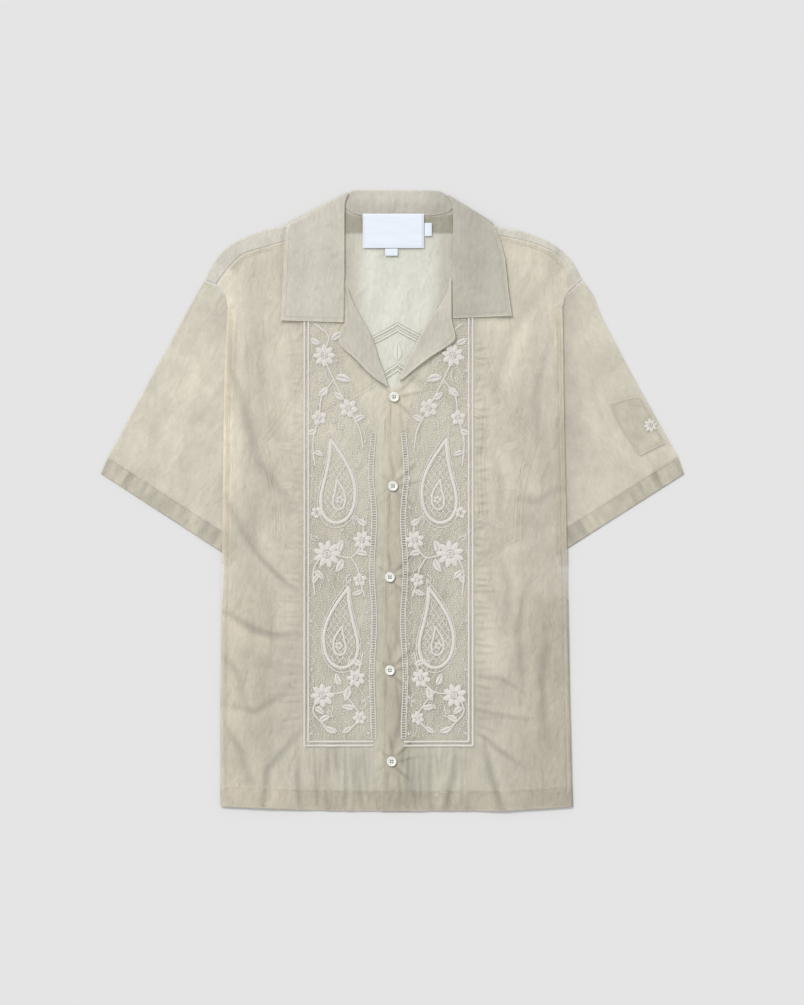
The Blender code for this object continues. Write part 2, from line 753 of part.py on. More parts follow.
def make_button_mesh(cutters):
    """Turned disc with a raised rim and four holes."""
    mesh = bpy.data.meshes.new("button_profile")
    places = [(out * BUTTON_RADIUS * MM, 0, up * BUTTON_THICKNESS * MM) for out, up in BUTTON_PROFILE]
    mesh.from_pydata(places, [(k, k + 1) for k in range(len(places) - 1)], [])
    turned = bpy.data.objects.new("button_turned", mesh)
    cutters.objects.link(turned)
    screw = turned.modifiers.new("Turn", "SCREW")
    screw.steps = BUTTON_SIDES
    screw.render_steps = BUTTON_SIDES
    screw.use_merge_vertices = True
    screw.merge_threshold = 0.00001
    for sign_x, sign_y in ((1, 1), (1, -1), (-1, 1), (-1, -1)):
        offset = Vector((sign_x, sign_y, 0)) * BUTTON_HOLE_OFFSET * MM
        place = offset + Vector((0, 0, BUTTON_THICKNESS * MM / 2))
        bpy.ops.mesh.primitive_cylinder_add(
            vertices=8, radius=BUTTON_HOLE_RADIUS * MM, depth=2 * BUTTON_THICKNESS * MM, location=place
        )
        drill = bpy.context.object
        drill.name = "button_drill"
        drill.hide_render = True
        drill.display_type = "WIRE"
        for owner in drill.users_collection:
            owner.objects.unlink(drill)
        cutters.objects.link(drill)
        cut = turned.modifiers.new("Hole", "BOOLEAN")
        cut.object = drill
        cut.operation = "DIFFERENCE"
    turned.hide_render = True
    turned.display_type = "WIRE"
    bpy.context.view_layer.update()
    finished = bpy.data.meshes.new_from_object(turned.evaluated_get(bpy.context.evaluated_depsgraph_get()))
    finished.name = "button"
    finished.set_sharp_from_angle(angle=math.radians(30))
    return finished


def main():
    for old in list(bpy.data.objects):
        bpy.data.objects.remove(old, do_unlink=True)
    shirt = bpy.data.collections.new("short_sleeve_shirt")
    cutters = bpy.data.collections.new("cutters")
    bpy.context.scene.collection.children.link(shirt)
    bpy.context.scene.collection.children.link(cutters)

    cloth = make_material("cloth", CLOTH_COLOUR, 0.6)
    sleeve_cloth = make_material("sleeve_cloth", SLEEVE_COLOUR, 0.6)
    back_cloth = make_material("back_cloth", BACK_COLOUR, 0.6)
    label_satin = make_material("label_satin", LABEL_COLOUR, 0.45)
    button_resin = make_material("button_resin", BUTTON_COLOUR, 0.25)

    make_back(shirt, back_cloth)
    make_collar(shirt, cloth)
    for side in ("left", "right"):
        make_front(side, shirt, cloth)
        make_sleeve(side, shirt, sleeve_cloth)
        make_rever(side, shirt, cloth)
    make_pocket(shirt, sleeve_cloth)
    for name in LABELS:
        make_label(name, shirt, label_satin)

    button_mesh = make_button_mesh(cutters)
    for number, (x, y) in enumerate(BUTTON_PLACES, 1):
        button = add_object(f"button_{number}", button_mesh, shirt, button_resin)
        seat = max(front_right_z(x + dx, y) for dx in (-BUTTON_RADIUS, 0, BUTTON_RADIUS))
        button.location = (x * MM, y * MM, (seat + HALF_WALL + GAP) * MM)


main()
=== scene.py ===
"""Looks of a short-sleeve shirt laid flat: sheer crinkled cloth, tone-on-tone embroidery, buttons."""
import json
import math

import bmesh
import bpy
import numpy as np
from mathutils.bvhtree import BVHTree
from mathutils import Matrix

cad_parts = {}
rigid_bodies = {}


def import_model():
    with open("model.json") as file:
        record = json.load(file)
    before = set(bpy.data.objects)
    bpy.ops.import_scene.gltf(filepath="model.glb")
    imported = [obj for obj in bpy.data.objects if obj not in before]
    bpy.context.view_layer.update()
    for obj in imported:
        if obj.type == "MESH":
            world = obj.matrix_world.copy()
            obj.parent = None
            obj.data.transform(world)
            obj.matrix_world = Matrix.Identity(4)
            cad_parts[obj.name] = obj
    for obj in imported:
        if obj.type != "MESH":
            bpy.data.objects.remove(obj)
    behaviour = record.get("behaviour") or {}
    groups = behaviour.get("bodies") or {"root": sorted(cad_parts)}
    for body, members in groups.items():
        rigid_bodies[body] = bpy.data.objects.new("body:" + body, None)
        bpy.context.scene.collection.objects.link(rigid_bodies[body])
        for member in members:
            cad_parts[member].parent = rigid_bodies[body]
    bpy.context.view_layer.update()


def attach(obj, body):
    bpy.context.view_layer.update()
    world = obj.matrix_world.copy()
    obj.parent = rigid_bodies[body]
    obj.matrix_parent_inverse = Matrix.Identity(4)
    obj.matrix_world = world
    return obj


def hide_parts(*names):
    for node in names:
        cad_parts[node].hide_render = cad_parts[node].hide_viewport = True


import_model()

# Sizes are in millimetres until a mesh is made: +X right, +Y towards the collar, +Z up
MM = 0.001
WALL = 1.0            # a layer with its turnings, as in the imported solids
PITCH = 1.3           # one layer to the next
HALF_WALL = WALL / 2
TURN = PITCH / 2      # radius of a fold between two neighbouring layers
WIDE_TURN = 3 * TURN
EASE = 0.35           # more air where one bent layer lies on another
STEP = 2.6            # cell of the finished cloth
FRONT_STEP = 1.8
TUCK = 56             # width of the side strips tucked under the body
BACK_TUCK_RAMP = (70, 110)
FRONT_TUCK_RAMP = (80, 120)
UNDERARM = (-76, -98)
FRONT_UNDERARM = (-40, -76)
ARMHOLE_RAMP = (20, 50)
ARMHOLE_TURN = 10
PLACKET_RAMP = (28, 52)
HEM_GAP = 1.5
COLLAR_LIFT_LEFT = (-152, -126)
COLLAR_LIFT_RIGHT = (121, 147)
COLLAR_LIFT_UP = (266, 296)
COLLAR_LIFT_REACH = 8
SHOULDER_DROPS = ((224, 240), (240, 250))
FOLDS_FROM_SIDE = (12, 28)
FOLDS_FROM_PLACKET = (26, 44)
PLACKET_MIDDLE = 5
STRIP_TOP = -97
BACK_STRIP_TOP = -100
SHOULDER_START = 224
FAN_START = 130
PLAIN_TOP = 96
BACK_EASE = 80
STRIP_PARTS = (0.35, 0.7, 1)
SLEEVE_ROWS = 12
SLEEVE_OUTWARD = np.array((0.88, 0.475))
BODY_HEM = 24         # depth of the body's turned hem
SLEEVE_HEM = 21
HEM_AIR = 0.4         # from a panel to its turned hem

PANEL_ROWS = (
    -330, -305, -280, -255, -230, -205, -180, -155, -132, -114, -98.5, -74, -50,
    -24, 2, 28, 54, 80, 106, 132, 158, 182, 204, 224, 240,
)
BACK_LAST_ROW = 250

# Side folds of the body: y, left x, right x
SIDE_FOLDS = (
    (-361, -200, 209.5),
    (-231, -200, 206),
    (-69, -198, 203),
    (117, -196, 199),
    (186, -194, 198.5),
    (224, -191.5, 197.4),
    (240, -193, 200),
    (250.6, -203.6, 212.8),
)

# Where the back meets the sleeves, above the underarm: y, left x, right x
BACK_ARMHOLES = (
    (-76, -181.3, 189.2),
    (224, -181.3, 186.3),
    (240, -193.4, 200.7),
    (250, -203.6, 213),
    (256.5, -217.5, 219.9),
)

# Hem of the front: x, y
HEM = ((-201, -354.5), (-64, -360), (126, -360), (210, -354.5))

# Rows where the fronts fan out to the shoulder: y at the side fold;
# left front's edge x, y; right front's edge x, y
FRONT_TOP_ROWS = (
    (106, 22, 117, -6.5, 117),
    (132, -7, 132.5, 6.5, 137),
    (156, -18.5, 160.5, 20, 163),
    (178, -27.5, 188.5, 31.4, 185),
    (196, -39.5, 211, 43.4, 207),
    (211, -49.5, 230, 57.3, 225.6),
    (222, -59, 250.5, 66.5, 242.3),
    (230, -65.2, 255.4, 73.8, 266.6),
    (236, -65.3, 276, 79.9, 271),
    (243, -65.6, 300, 80, 296),
    (250.6, -66, 323.5, 80.2, 321.6),
)

# Front edges below the break: y, left front's x, right front's x
FRONT_EDGES = (
    (-360, 21, -13.3),
    (-200, 21, -13.9),
    (-115, 21.5, -9.9),
    (117, 22, -6.5),
)

# Shoulder seams, armhole to neck: part, x, y
SHOULDER_SEAMS = {
    "left": (
        (0, -203.6, 250.6),
        (0.12, -190, 270.5),
        (0.25, -174, 285.6),
        (0.4, -150, 293.4),
        (0.57, -126, 300.3),
        (0.78, -96, 311.6),
        (1, -66, 323.5),
    ),
    "right": (
        (0, 212.8, 250.6),
        (0.1, 202, 272.6),
        (0.22, 186, 288.6),
        (0.36, 166, 297.4),
        (0.52, 144, 303.3),
        (0.71, 119, 307.6),
        (1, 80.2, 321.6),
    ),
}
FRONT_COLUMNS = 18

# Columns of the back: x at the hem, x and y at the shoulder fold or neck seam,
# x and y at the shoulder seam (None at the neck)
BACK_COLUMNS = (
    (-199, -217.5, 256.5, -204.8, 252.2),
    (-186, -209, 274, -190.4, 271.6),
    (-172, -195.5, 290.6, -174.3, 286.6),
    (-155, -174, 304.5, -150.2, 294.4),
    (-136, -150, 313.5, -126.2, 301.3),
    (-115, -124, 320, -107, 308.5),
    (-94, -96, 334.1, -86, 316.6),
    (-76, -66.5, 348.8, -66.5, 324.6),
    (-60, -61, 340, None, None),
    (-42, -54, 334, None, None),
    (-22, -33, 329.3, None, None),
    (6, 6, 328.3, None, None),
    (34, 42, 329.3, None, None),
    (54, 69, 332.5, None, None),
    (72, 75.5, 337, None, None),
    (88, 80.5, 343.6, 80.9, 322.8),
    (106, 100, 331.6, 101, 315.4),
    (126, 122, 318.2, 121, 308.6),
    (146, 146, 313.5, 144.6, 304.2),
    (165, 173.5, 304.3, 166.6, 298.2),
    (182, 193.5, 292.6, 187, 289),
    (196, 208.5, 278, 203.4, 273.4),
    (208, 219.9, 256.9, 214.2, 252.2),
)

# Sleeves, as seen from above. Outer fold from the shoulder to the cuff: part, x, y.
# Armhole edge from the outer fold inwards: part, x, y.
SLEEVES = {
    "left": {
        "outer": (
            (0, -218.8, 255.2),
            (0.09, -228.8, 237.5),
            (0.5, -281.8, 140.5),
            (0.97, -337, 38),
            (1, -338.6, 31.5),
        ),
        "armhole": (
            (0, -218.8, 255.2),
            (0.36, -204.6, 249.2),
            (0.68, -194.3, 238.7),
            (1, -181.8, 222.4),
        ),
        "inner_cuff": (-181.8, -70.2),
    },
    "right": {
        "outer": (
            (0, 221.4, 255.6),
            (0.09, 233.6, 237.5),
            (0.18, 243.4, 213),
            (0.5, 277.8, 147),
            (0.97, 338.8, 38),
            (1, 338.4, 31.5),
        ),
        "armhole": (
            (0, 221.4, 255.6),
            (0.36, 214.2, 249.4),
            (0.68, 201.8, 238.7),
            (1, 186.8, 222.4),
        ),
        "inner_cuff": (189.8, -63.2),
    },
}
SLEEVE_PARTS = (1, 0.84, 0.68, 0.52, 0.36, 0.2, 0.08, 0)

# Collar, left front end round the neck to the right front end.
# roll x, y; stand seam x, y; outer edge x, y; turn about the neck: 90 in front, -90 behind
COLLAR_SECTIONS = (
    (-55.6, 206.2, -64.5, 206.2, -130, 208.5, 90),
    (-55.2, 230, -64.5, 230, -128.5, 230, 90),
    (-55, 257, -64.5, 257, -127.3, 256, 90),
    (-55, 281, -64.7, 281, -126, 281, 90),
    (-55, 306, -64.9, 304, -124.8, 302, 90),
    (-55, 328, -65, 322, -123.6, 311, 90),
    (-54.6, 344, -65, 337, -122, 317, 90),
    (-51.4, 355.4, -61.2, 350.4, -119.9, 320.8, 89),
    (-51.4, 355.4, -61.2, 350.4, -119.9, 320.8, 45),
    (-51.4, 355.4, -61.2, 350.4, -119.9, 320.8, 0),
    (-51.4, 355.4, -61.2, 350.4, -119.9, 320.8, -45),
    (-51.4, 355.4, -61.2, 350.4, -119.9, 320.8, -89),
    (-46.5, 359.2, -55, 341, -104, 311, -90),
    (-40, 360.2, -48, 334.6, -78, 310.5, -90),
    (-28, 360.2, -32, 330.6, -42, 310.5, -90),
    (6, 360, 6, 329.7, 6, 310.5, -90),
    (38, 359.8, 40, 330.6, 44, 310.5, -90),
    (52, 359.2, 63, 334.4, 76, 310.5, -90),
    (59.5, 356.6, 69, 338.6, 98, 311, -90),
    (64.2, 352.5, 73.6, 346.7, 115.3, 320.9, -89),
    (64.2, 352.5, 73.6, 346.7, 115.3, 320.9, -45),
    (64.2, 352.5, 73.6, 346.7, 115.3, 320.9, 0),
    (64.2, 352.5, 73.6, 346.7, 115.3, 320.9, 45),
    (64.2, 352.5, 73.6, 346.7, 115.3, 320.9, 89),
    (68.6, 342, 79, 335, 118.4, 315, 90),
    (69.6, 324, 79, 318, 122.5, 306, 90),
    (69.6, 305, 79, 302, 126.6, 295, 90),
    (69.4, 288, 79, 287, 130, 281, 90),
    (69.3, 272.5, 79, 272.5, 132, 264, 90),
    (69.2, 240, 79, 240, 135, 237, 90),
    (69, 211.2, 79, 211.2, 138.4, 214, 90),
)
COLLAR_STAND = (2, 28)
FOLD_TURN = 89
STAND_COLUMNS = 6
SHOULDER_SLOPES = {"left": (-0.451, 0.893), "right": (0.526, 0.850)}

# Revers, break to gorge: roll x, y; outer edge x, y
REVERS = {
    "left": (
        (-4, 132, -8.6, 133.5),
        (-8.6, 147, -24, 144.6),
        (-14.5, 163, -42.3, 163),
        (-21.2, 184, -62.4, 185),
        (-29.2, 201.5, -58, 202.9),
        (-34.4, 210, -54.9, 206.4),
        (-45.8, 231.4, -54.2, 231),
        (-51.6, 246, -54.1, 246.5),
    ),
    "right": (
        (5.8, 140.6, 11.6, 140.4),
        (10, 149, 26, 152.6),
        (16.8, 163, 43.4, 166),
        (25.6, 181, 61.4, 177.5),
        (33.4, 196, 73, 188.6),
        (39, 205.4, 69.2, 206.6),
        (43.6, 212.2, 68.3, 211.6),
        (53.9, 226, 68.2, 226),
        (63.2, 243, 68, 243),
        (66, 257, 68.1, 257.4),
    ),
}
REVER_PARTS = (0, 0.1, 0.2, 0.4, 0.6, 0.8, 1)
EDGE_LIFT = 1.8         # how far the free edges of collar and revers stand off the fronts

# Folds of the fronts: start x, y; end x, y; half width; height
FRONT_FOLDS = (
    (-196, -161, -110, -195, 9, 1.9),
    (-192, 34, -112, -100, 10, 1.4),
    (-113, -262, -148, -338, 9, 1.6),
    (-184, 226, -168, 96, 9, 1.5),
    (-150, 40, -140, -70, 10, 1.0),
    (-165, -230, -158, -345, 10, 1.2),
    (-72, -288, -74, -352, 7, 1.6),
    (-50, -292, -48, -354, 7, 1.3),
    (36, -292, 33, -354, 7, 1.5),
    (56, -290, 60, -354, 7, 1.5),
    (80, -290, 84, -354, 7, 1.3),
    (98, -284, 131, -346, 9, 1.7),
    (44, -150, 46, -236, 8, 1.2),
    (154, 196, 138, 80, 11, 1.3),
    (178, 190, 172, 30, 10, 1.2),
    (150, -40, 142, -190, 11, 1.2),
    (168, -210, 164, -335, 10, 1.2),
)
SLEEVE_FOLDS = {
    "left": (
        (-222, 232, -300, 40, 9, 1.4),
        (-212, 190, -262, 0, 9, 1.6),
        (-206, 120, -226, -20, 8, 1.2),
    ),
    "right": (
        (224, 232, 262, 150, 9, 1.3),
        (212, 180, 262, 10, 9, 1.5),
        (210, 110, 226, -20, 8, 1.2),
    ),
}

POCKET_CORNERS = ((250.5, 113), (285.5, 122.5), (315.5, 66.5), (287, 51.8))
POCKET_BOW = 3
POCKET_STEPS = 6

# Neck labels: left, bottom, right, top
LABELS = {
    "label_main": (-34.5, 292.5, 36.5, 332.4),
    "label_size": (-8.5, 283.3, 6, 291.9),
    "label_side": (37.1, 306.4, 45.8, 321.7),
}
BUTTON_PLACES = ((2, 120), (0.6, 16.8), (-3, -88.7), (-3, -196.6), (-1, -302.2))
BUTTON_RADIUS = 5.75
BUTTON_THICKNESS = 2.4

NOISE_CELLS = 97

# Creases of the fronts: points along the crest; width of its steep side, right of the way it
# runs; width of its soft side; height
FRONT_CREASES = (
    (((-168, -40), (-148, -66), (-130, -84), (-113, -99)), 3.5, 12, 1.5),
    (((-112, -160), (-140, -160), (-161, -154), (-195, -133)), 4, 13, 1.6),
    (((-112, -214), (-134, -234), (-158, -249), (-196, -240)), 4, 12, 1.2),
    (((-104, -270), (-122, -292), (-140, -312), (-146, -354)), 4, 11, 2.0),
    (((-104, -290), (-106, -320), (-103, -354)), 3.5, 9, 1.5),
    (((-186, 212), (-177, 146), (-165, 105), (-150, 48), (-124, 14)), 6, 16, 1.3),
    (((-187, 3), (-168, -34), (-148, -50)), 5, 14, 1.0),
    (((-193, -176), (-176, -196), (-168, -226)), 5, 14, 0.9),
    (((-152, 196), (-146, 150), (-148, 96)), 5, 12, 0.7),
    (((-186, -262), (-170, -290), (-160, -330)), 5, 12, 1.0),
    (((-72, -288), (-75, -322), (-72, -356)), 3, 7, 1.2),
    (((-52, -290), (-50, -330), (-53, -357)), 3, 6, 1.0),
    (((-34, -292), (-36, -324), (-32, -357)), 3, 6, 1.1),
    (((30, -290), (27, -322), (30, -358)), 2.5, 5, 0.9),
    (((48, -291), (46, -330), (48, -358)), 2.5, 5, 0.8),
    (((80, -290), (74, -322), (66, -356)), 4, 9, 1.9),
    (((111, -288), (119, -318), (130, -354)), 4, 9, 1.7),
    (((101, -266), (120, -282), (146, -301)), 3, 10, 1.1),
    (((99, -240), (126, -246), (158, -250)), 3, 12, 0.8),
    (((99, -198), (128, -204), (150, -218)), 3, 12, 0.8),
    (((160, -100), (150, -150), (156, -210)), 5, 14, 1.0),
    (((186, -150), (178, -210), (184, -280)), 5, 12, 0.9),
    (((128, -60), (140, -100), (134, -150)), 5, 14, 0.8),
    (((192, 262), (166, 226), (142, 190), (128, 140)), 6, 16, 1.0),
    (((186, 180), (172, 120), (176, 60)), 6, 15, 0.9),
    (((196, 10), (170, -6), (138, -4)), 5, 13, 0.9),
    (((120, 60), (132, 20), (128, -30)), 5, 14, 0.7),
    (((14, -226), (13, -250), (2, -292)), 3, 8, 0.9),
    (((8, -134), (9, -164), (-2, -190)), 3, 8, 0.9),
    (((12, -30), (20, -58), (4, -84)), 3, 9, 0.7),
    (((22, 84), (18, 50), (4, 24)), 3, 9, 0.7),
)

# Creases that run from each button: where one starts and ends beside it, and its height
BUTTON_CREASES = (
    (4, 7, 26, 28, 1.3),
    (6, 2, 34, 8, 0.9),
    (5, -5, 22, -20, 1.1),
    (-2, -7, -3, -34, 1.0),
    (-1, 7, -4, 30, 1.0),
    (-5, 3, -16, 12, 0.8),
    (-5, -4, -17, -15, 0.8),
    (9, -9, 12, -44, 0.8),
)

# Lighter or darker patches, where hidden layers lie: x, y; half width and height; change
FRONT_PATCHES = (
    (-172, 150, 22, 70, 0.0),
    (-190, 60, 16, 260, 0.29),
    (-190, -270, 14, 80, 0.13),
    (-150, -345, 60, 20, 0.17),
    (120, -345, 80, 18, 0.07),
    (-150, 30, 30, 40, -0.10),
    (-180, -60, 24, 50, -0.07),
    (-160, -190, 28, 60, -0.05),
    (-124, -280, 22, 30, 0.07),
    (-122, 110, 16, 60, 0.06),
    (-118, -40, 14, 40, 0.05),
    (178, 70, 26, 40, -0.09),
    (168, -16, 34, 24, -0.10),
    (180, -150, 30, 90, -0.09),
    (150, -300, 40, 40, -0.09),
    (112, -160, 16, 60, 0.07),
    (118, 40, 14, 70, 0.06),
    (150, 160, 20, 60, 0.04),
    (5, -40, 22, 60, -0.05),
    (20, -240, 24, 60, -0.08),
    (60, 140, 30, 40, -0.06),
    (-50, 140, 26, 30, -0.04),
)
HIGHEST_CREASE = 1.7
FRONT_FADE = ((-340, -0.16), (-200, -0.14), (-60, -0.09), (100, 0.04), (200, 0.09), (330, 0.1))
GROUND_SHADES = {"left": 0.02, "right": 0.05}

# Lines under the edges of collar and revers, and how much painted shadow darkens the fronts there
PAINTED_EDGE_SHADOWS = (
    (((-130, 206), (-56, 204)), 0.16),
    (((70, 209), (140, 212)), 0.2),
    (((-60, 184), (-41, 161), (-23, 142), (-7, 131)), 0.34),
    (((60, 175), (43, 163), (25, 150), (10, 138)), 0.34),
    (((64, 207), (74, 189)), 0.2),
)
SHOULDER_TINT = (0.91, 0.865, 0.89)
VEILED_TINT = (0.99, 0.93, 0.84)
FLOOR_COLOUR = (0.62, 0.62, 0.62)
FRONT_COLOUR = (0.645, 0.592, 0.478)
BACK_COLOUR = (0.762, 0.762, 0.646)
SLEEVE_COLOUR = (0.725, 0.677, 0.562)
COLLAR_COLOUR = (0.595, 0.565, 0.490)
PHOTO_CENTRE = (11.0, -2.3)
PHOTO_HEIGHT = 1165.8   # what the picture's long side takes in
SKY_LIGHT = 0.70
SUN_LIGHT = 2.31
SUN_ANGLE = 14
SUN_HEIGHT = 50
SUN_TURN = 215          # the light comes from the upper left
# overall darkening of each sleeve, and the painted shadow near the armhole
SLEEVE_SHADES = {"left": (0.03, 0.02), "right": (0.06, 0.20)}
LABEL_SLACK = 0.35      # how far a label's middle stands off the cloth below it
LABEL_HEIGHTS = {"label_main": 3.6, "label_size": 3.3, "label_side": 3.2}
LABEL_THREAD = (0.66, 0.70, 0.76)
LABEL_COLOUR = (0.652, 0.696, 0.764)
BUTTON_SIDES = 64
BUTTON_BASE = 3.9
BUTTON_PROFILE = ((0.86, 0), (1, 0.28), (1, 0.66), (0.95, 0.92), (0.87, 1), (0.8, 0.96), (0.66, 0.72))
BUTTON_HOLE = 0.85      # radius
BUTTON_HOLE_REACH = 1.75
BUTTON_THREAD_REACH = 0.62    # part of the way from hole to hole that the thread shows
PEARL_COLOUR = (0.69, 0.70, 0.655)
BUTTON_THREAD = (0.82, 0.79, 0.60)
SEAM_COLOUR = (0.60, 0.56, 0.47)
STITCH_COLOUR = (0.56, 0.52, 0.43)
COLLAR_STITCH_IN = 5.0
HEM_STITCH_IN = 1.6
REVER_CORNERS = {"left": 5, "right": 6}
POCKET_FLOWER = (299, 87)

# Places on a front's embroidery: distance out from its inner edge, height
ZONE_INNER = {"left": -18, "right": 9}
ZONE_WIDTH = 88
ZONE_TOP = 214
ZONE_BOTTOM = -284
BORDER_CORDS = ((0, 2.3), (4.6, 2.3))    # how far in, and width
BORDER_END = 4
NECK_SLANT = ((90, 4), (188, 52))    # height, and how far out the zone starts there
FLOWERS = (
    (61, 168, 13, 8), (33, 107, 11, 6), (67, 96, 9, 5), (17, -46, 11, 7), (58, -62, 16, 9),
    (20, -92, 8, 5), (24, -206, 11, 7), (63, -226, 14, 8), (20, -252, 8, 6), (70, -14, 7, 5),
)

# Stems: points from one end to the other
STEMS = (
    ((72, 205), (56, 190), (61, 168), (50, 140), (33, 107), (20, 82), (16, 60)),
    ((50, 140), (64, 120), (67, 96), (74, 70), (72, 40)),
    ((16, -20), (17, -46), (30, -66), (58, -62), (73, -80), (72, -110)),
    ((30, -66), (22, -80), (20, -92), (14, -112)),
    ((16, -176), (24, -206), (40, -222), (63, -226), (74, -244), (60, -262)),
    ((40, -222), (28, -236), (20, -252), (34, -268)),
)
LEAVES = (
    (52, 186, 2.6, 17, 8), (66, 182, 0.5, 13, 7), (48, 143, 3.4, 19, 9), (57, 131, 5.6, 15, 8),
    (26, 92, 2.7, 14, 7), (38, 118, 0.6, 14, 7), (70, 82, 5.9, 12, 7), (73, 56, 3.5, 12, 6),
    (12, -28, 0.6, 13, 7), (24, -60, 3.4, 14, 7), (40, -68, 5.2, 17, 8), (44, -60, 1.9, 15, 8),
    (72, -82, 3.9, 14, 7), (74, -96, 2.2, 13, 6), (17, -104, 5.9, 13, 6), (17, -190, 0.5, 14, 7),
    (33, -216, 5.0, 17, 8), (42, -214, 1.2, 15, 7), (72, -240, 3.8, 13, 7), (66, -256, 2.7, 14, 7),
    (26, -240, 0.2, 15, 7), (30, -262, 5.7, 13, 6), (46, -268, 0.4, 17, 7),
)
STARS = (
    (76, 150), (46, 162), (76, 118), (50, 92), (14, 68), (76, 28), (10, 26), (11, -8),
    (40, -34), (76, -40), (34, -100), (56, -92), (12, -130), (76, -140), (10, -166), (76, -196),
    (40, -240), (52, -250), (10, -228), (76, -270), (10, -270),
)
TENDRILS = (
    (61, 152, 4.4, 16, 1), (40, 96, 5.4, 14, -1), (76, 104, 0.6, 10, 1), (24, -30, 0.9, 13, 1),
    (66, -46, 0.8, 12, -1), (30, -84, 5.6, 13, -1), (30, -196, 0.9, 12, 1), (52, -236, 4.5, 13, 1),
    (14, -240, 1.9, 10, -1),
)
LADDERS = (
    ((4, 78), (7, 30), (3, -20), (6, -80), (3, -140), (6, -200), (4, -258), (4, -276)),
)

# Paisleys: distance out, height, width, length, side of the tip, lean
PAISLEYS = ((43, 22, 54, 96, 1, 0.12), (44, -148, 54, 92, -1, -0.12))
THREAD_COLOUR = (0.76, 0.72, 0.67)

# Medallion on the back: centre, radius, lobes and depth of its two couched lines
MEDALLION = (6, 40)
MEDALLION_LINES = ((165, 9, 0.10), (158, 9, 0.10), (118, 6, 0.16), (112, 6, 0.16))
MEDALLION_PETALS = (18, 122, 22, 9)    # number, distance out, length, width
BACK_THREAD = (0.80, 0.795, 0.72)
# colour of the painted shadow strips under and beside the couched cords on the back
COUCHING_SHADOW_COLOUR = (0.38, 0.35, 0.27)


# Heights of the layers

def level(number):
    """Middle of a layer's wall, counted from the layer on the floor."""
    return HALF_WALL + number * PITCH


def ramp(value, start, end):
    """Smooth step from 0 at start to 1 at end."""
    part = np.clip((np.asarray(value, float) - start) / (end - start), 0, 1)
    return part * part * (3 - 2 * part)


def mix(a, b, part):
    return a + (b - a) * part


def read(table, key, column):
    """Column of a table at a key of its first column, straight between rows."""
    rows = np.array(table, float)
    return np.interp(key, rows[:, 0], rows[:, column])


def side_x(y, side):
    return read(SIDE_FOLDS, y, 1 if side == "left" else 2)


def from_side(x, y):
    """Distance inwards from the nearer side fold."""
    return np.minimum(x - side_x(y, "left"), side_x(y, "right") - x)


def collar_lift(x, y):
    """Height that the collar's leaf behind the neck gives to the layers over it."""
    across = ramp(x, *COLLAR_LIFT_LEFT) * (1 - ramp(x, *COLLAR_LIFT_RIGHT))
    return PITCH * ramp(y, *COLLAR_LIFT_UP) * across


def ridges(x, y, folds):
    """Sum of soft ridges, each along a line from x1, y1 to x2, y2."""
    total = np.zeros(np.broadcast(x, y).shape)
    for x1, y1, x2, y2, half_width, height in folds:
        run_x, run_y = x2 - x1, y2 - y1
        part = ((x - x1) * run_x + (y - y1) * run_y) / (run_x * run_x + run_y * run_y)
        near = np.clip(part, 0, 1)
        distance = np.hypot(x - x1 - run_x * near, y - y1 - run_y * near) / half_width
        total += height * np.exp(-distance * distance)
    return total


def crinkle(x, y, across, along, seed, count=26):
    """Uneven waves of about unit height, with lengths near across in x and along in y."""
    pick = np.random.default_rng(seed)
    total = np.zeros(np.broadcast(x, y).shape)
    for _ in range(count):
        wave_x = 2 * math.pi / (across * pick.uniform(0.6, 1.7)) * pick.choice((-1, 1))
        wave_y = 2 * math.pi / (along * pick.uniform(0.6, 1.7)) * pick.choice((-1, 1))
        total += np.sin(wave_x * x + wave_y * y + pick.uniform(0, 2 * math.pi))
    return total / math.sqrt(count)


def soft_noise(x, y, across, along, seed):
    """Smooth random field from -1 to 1 with patches of the given size."""
    table = np.random.default_rng(seed).uniform(-1, 1, (NOISE_CELLS, NOISE_CELLS))
    u = np.asarray(x, float) / across + NOISE_CELLS / 2
    v = np.asarray(y, float) / along + NOISE_CELLS / 2
    column, row = np.floor(u).astype(int), np.floor(v).astype(int)
    part_u, part_v = ramp(u - column, 0, 1), ramp(v - row, 0, 1)
    near, far = column % NOISE_CELLS, (column + 1) % NOISE_CELLS
    low, high = row % NOISE_CELLS, (row + 1) % NOISE_CELLS
    below = mix(table[near, low], table[far, low], part_u)
    above = mix(table[near, high], table[far, high], part_u)
    return mix(below, above, part_v)


def rumpled(x, y, size, seed):
    """Soft uneven patches, drawn out along bent lines, from -1 to 1."""
    bent_x = x + size * 0.5 * soft_noise(x, y, size * 1.3, size * 1.7, seed)
    bent_y = y + size * 0.7 * soft_noise(x, y, size * 1.3, size * 1.7, seed + 1)
    return soft_noise(bent_x, bent_y, size, size * 1.5, seed + 2)


def back_z(x, y):
    """Middle of the back's wall, which rises over the strips tucked under its sides."""
    rise = ramp(y, *UNDERARM) * (1 - ramp(from_side(x, y), *BACK_TUCK_RAMP))
    return level(0) + 2 * PITCH * rise + collar_lift(x, y)


def plain_front_z(x, y):
    """Middle of a front's wall without its folds."""
    low = ramp(y, *FRONT_UNDERARM)
    start = mix(ARMHOLE_RAMP[0], FRONT_TUCK_RAMP[0], low)
    end = mix(ARMHOLE_RAMP[1], FRONT_TUCK_RAMP[1], low)
    shoulder = 1 - sum(ramp(y, *drop) for drop in SHOULDER_DROPS) / len(SHOULDER_DROPS)
    rise = (1 - ramp(from_side(x, y), start, end)) * shoulder
    return level(1) + 2 * PITCH * rise + collar_lift(x, y + COLLAR_LIFT_REACH)


def front_z(x, y):
    loose = ramp(from_side(x, y), *FOLDS_FROM_SIDE) * ramp(np.abs(x - PLACKET_MIDDLE), *FOLDS_FROM_PLACKET)
    return plain_front_z(x, y) + ridges(x, y, FRONT_FOLDS) * loose


def front_right_z(x, y):
    return front_z(x, y) + PITCH * (1 - ramp(x, *PLACKET_RAMP))


# Cloth grids

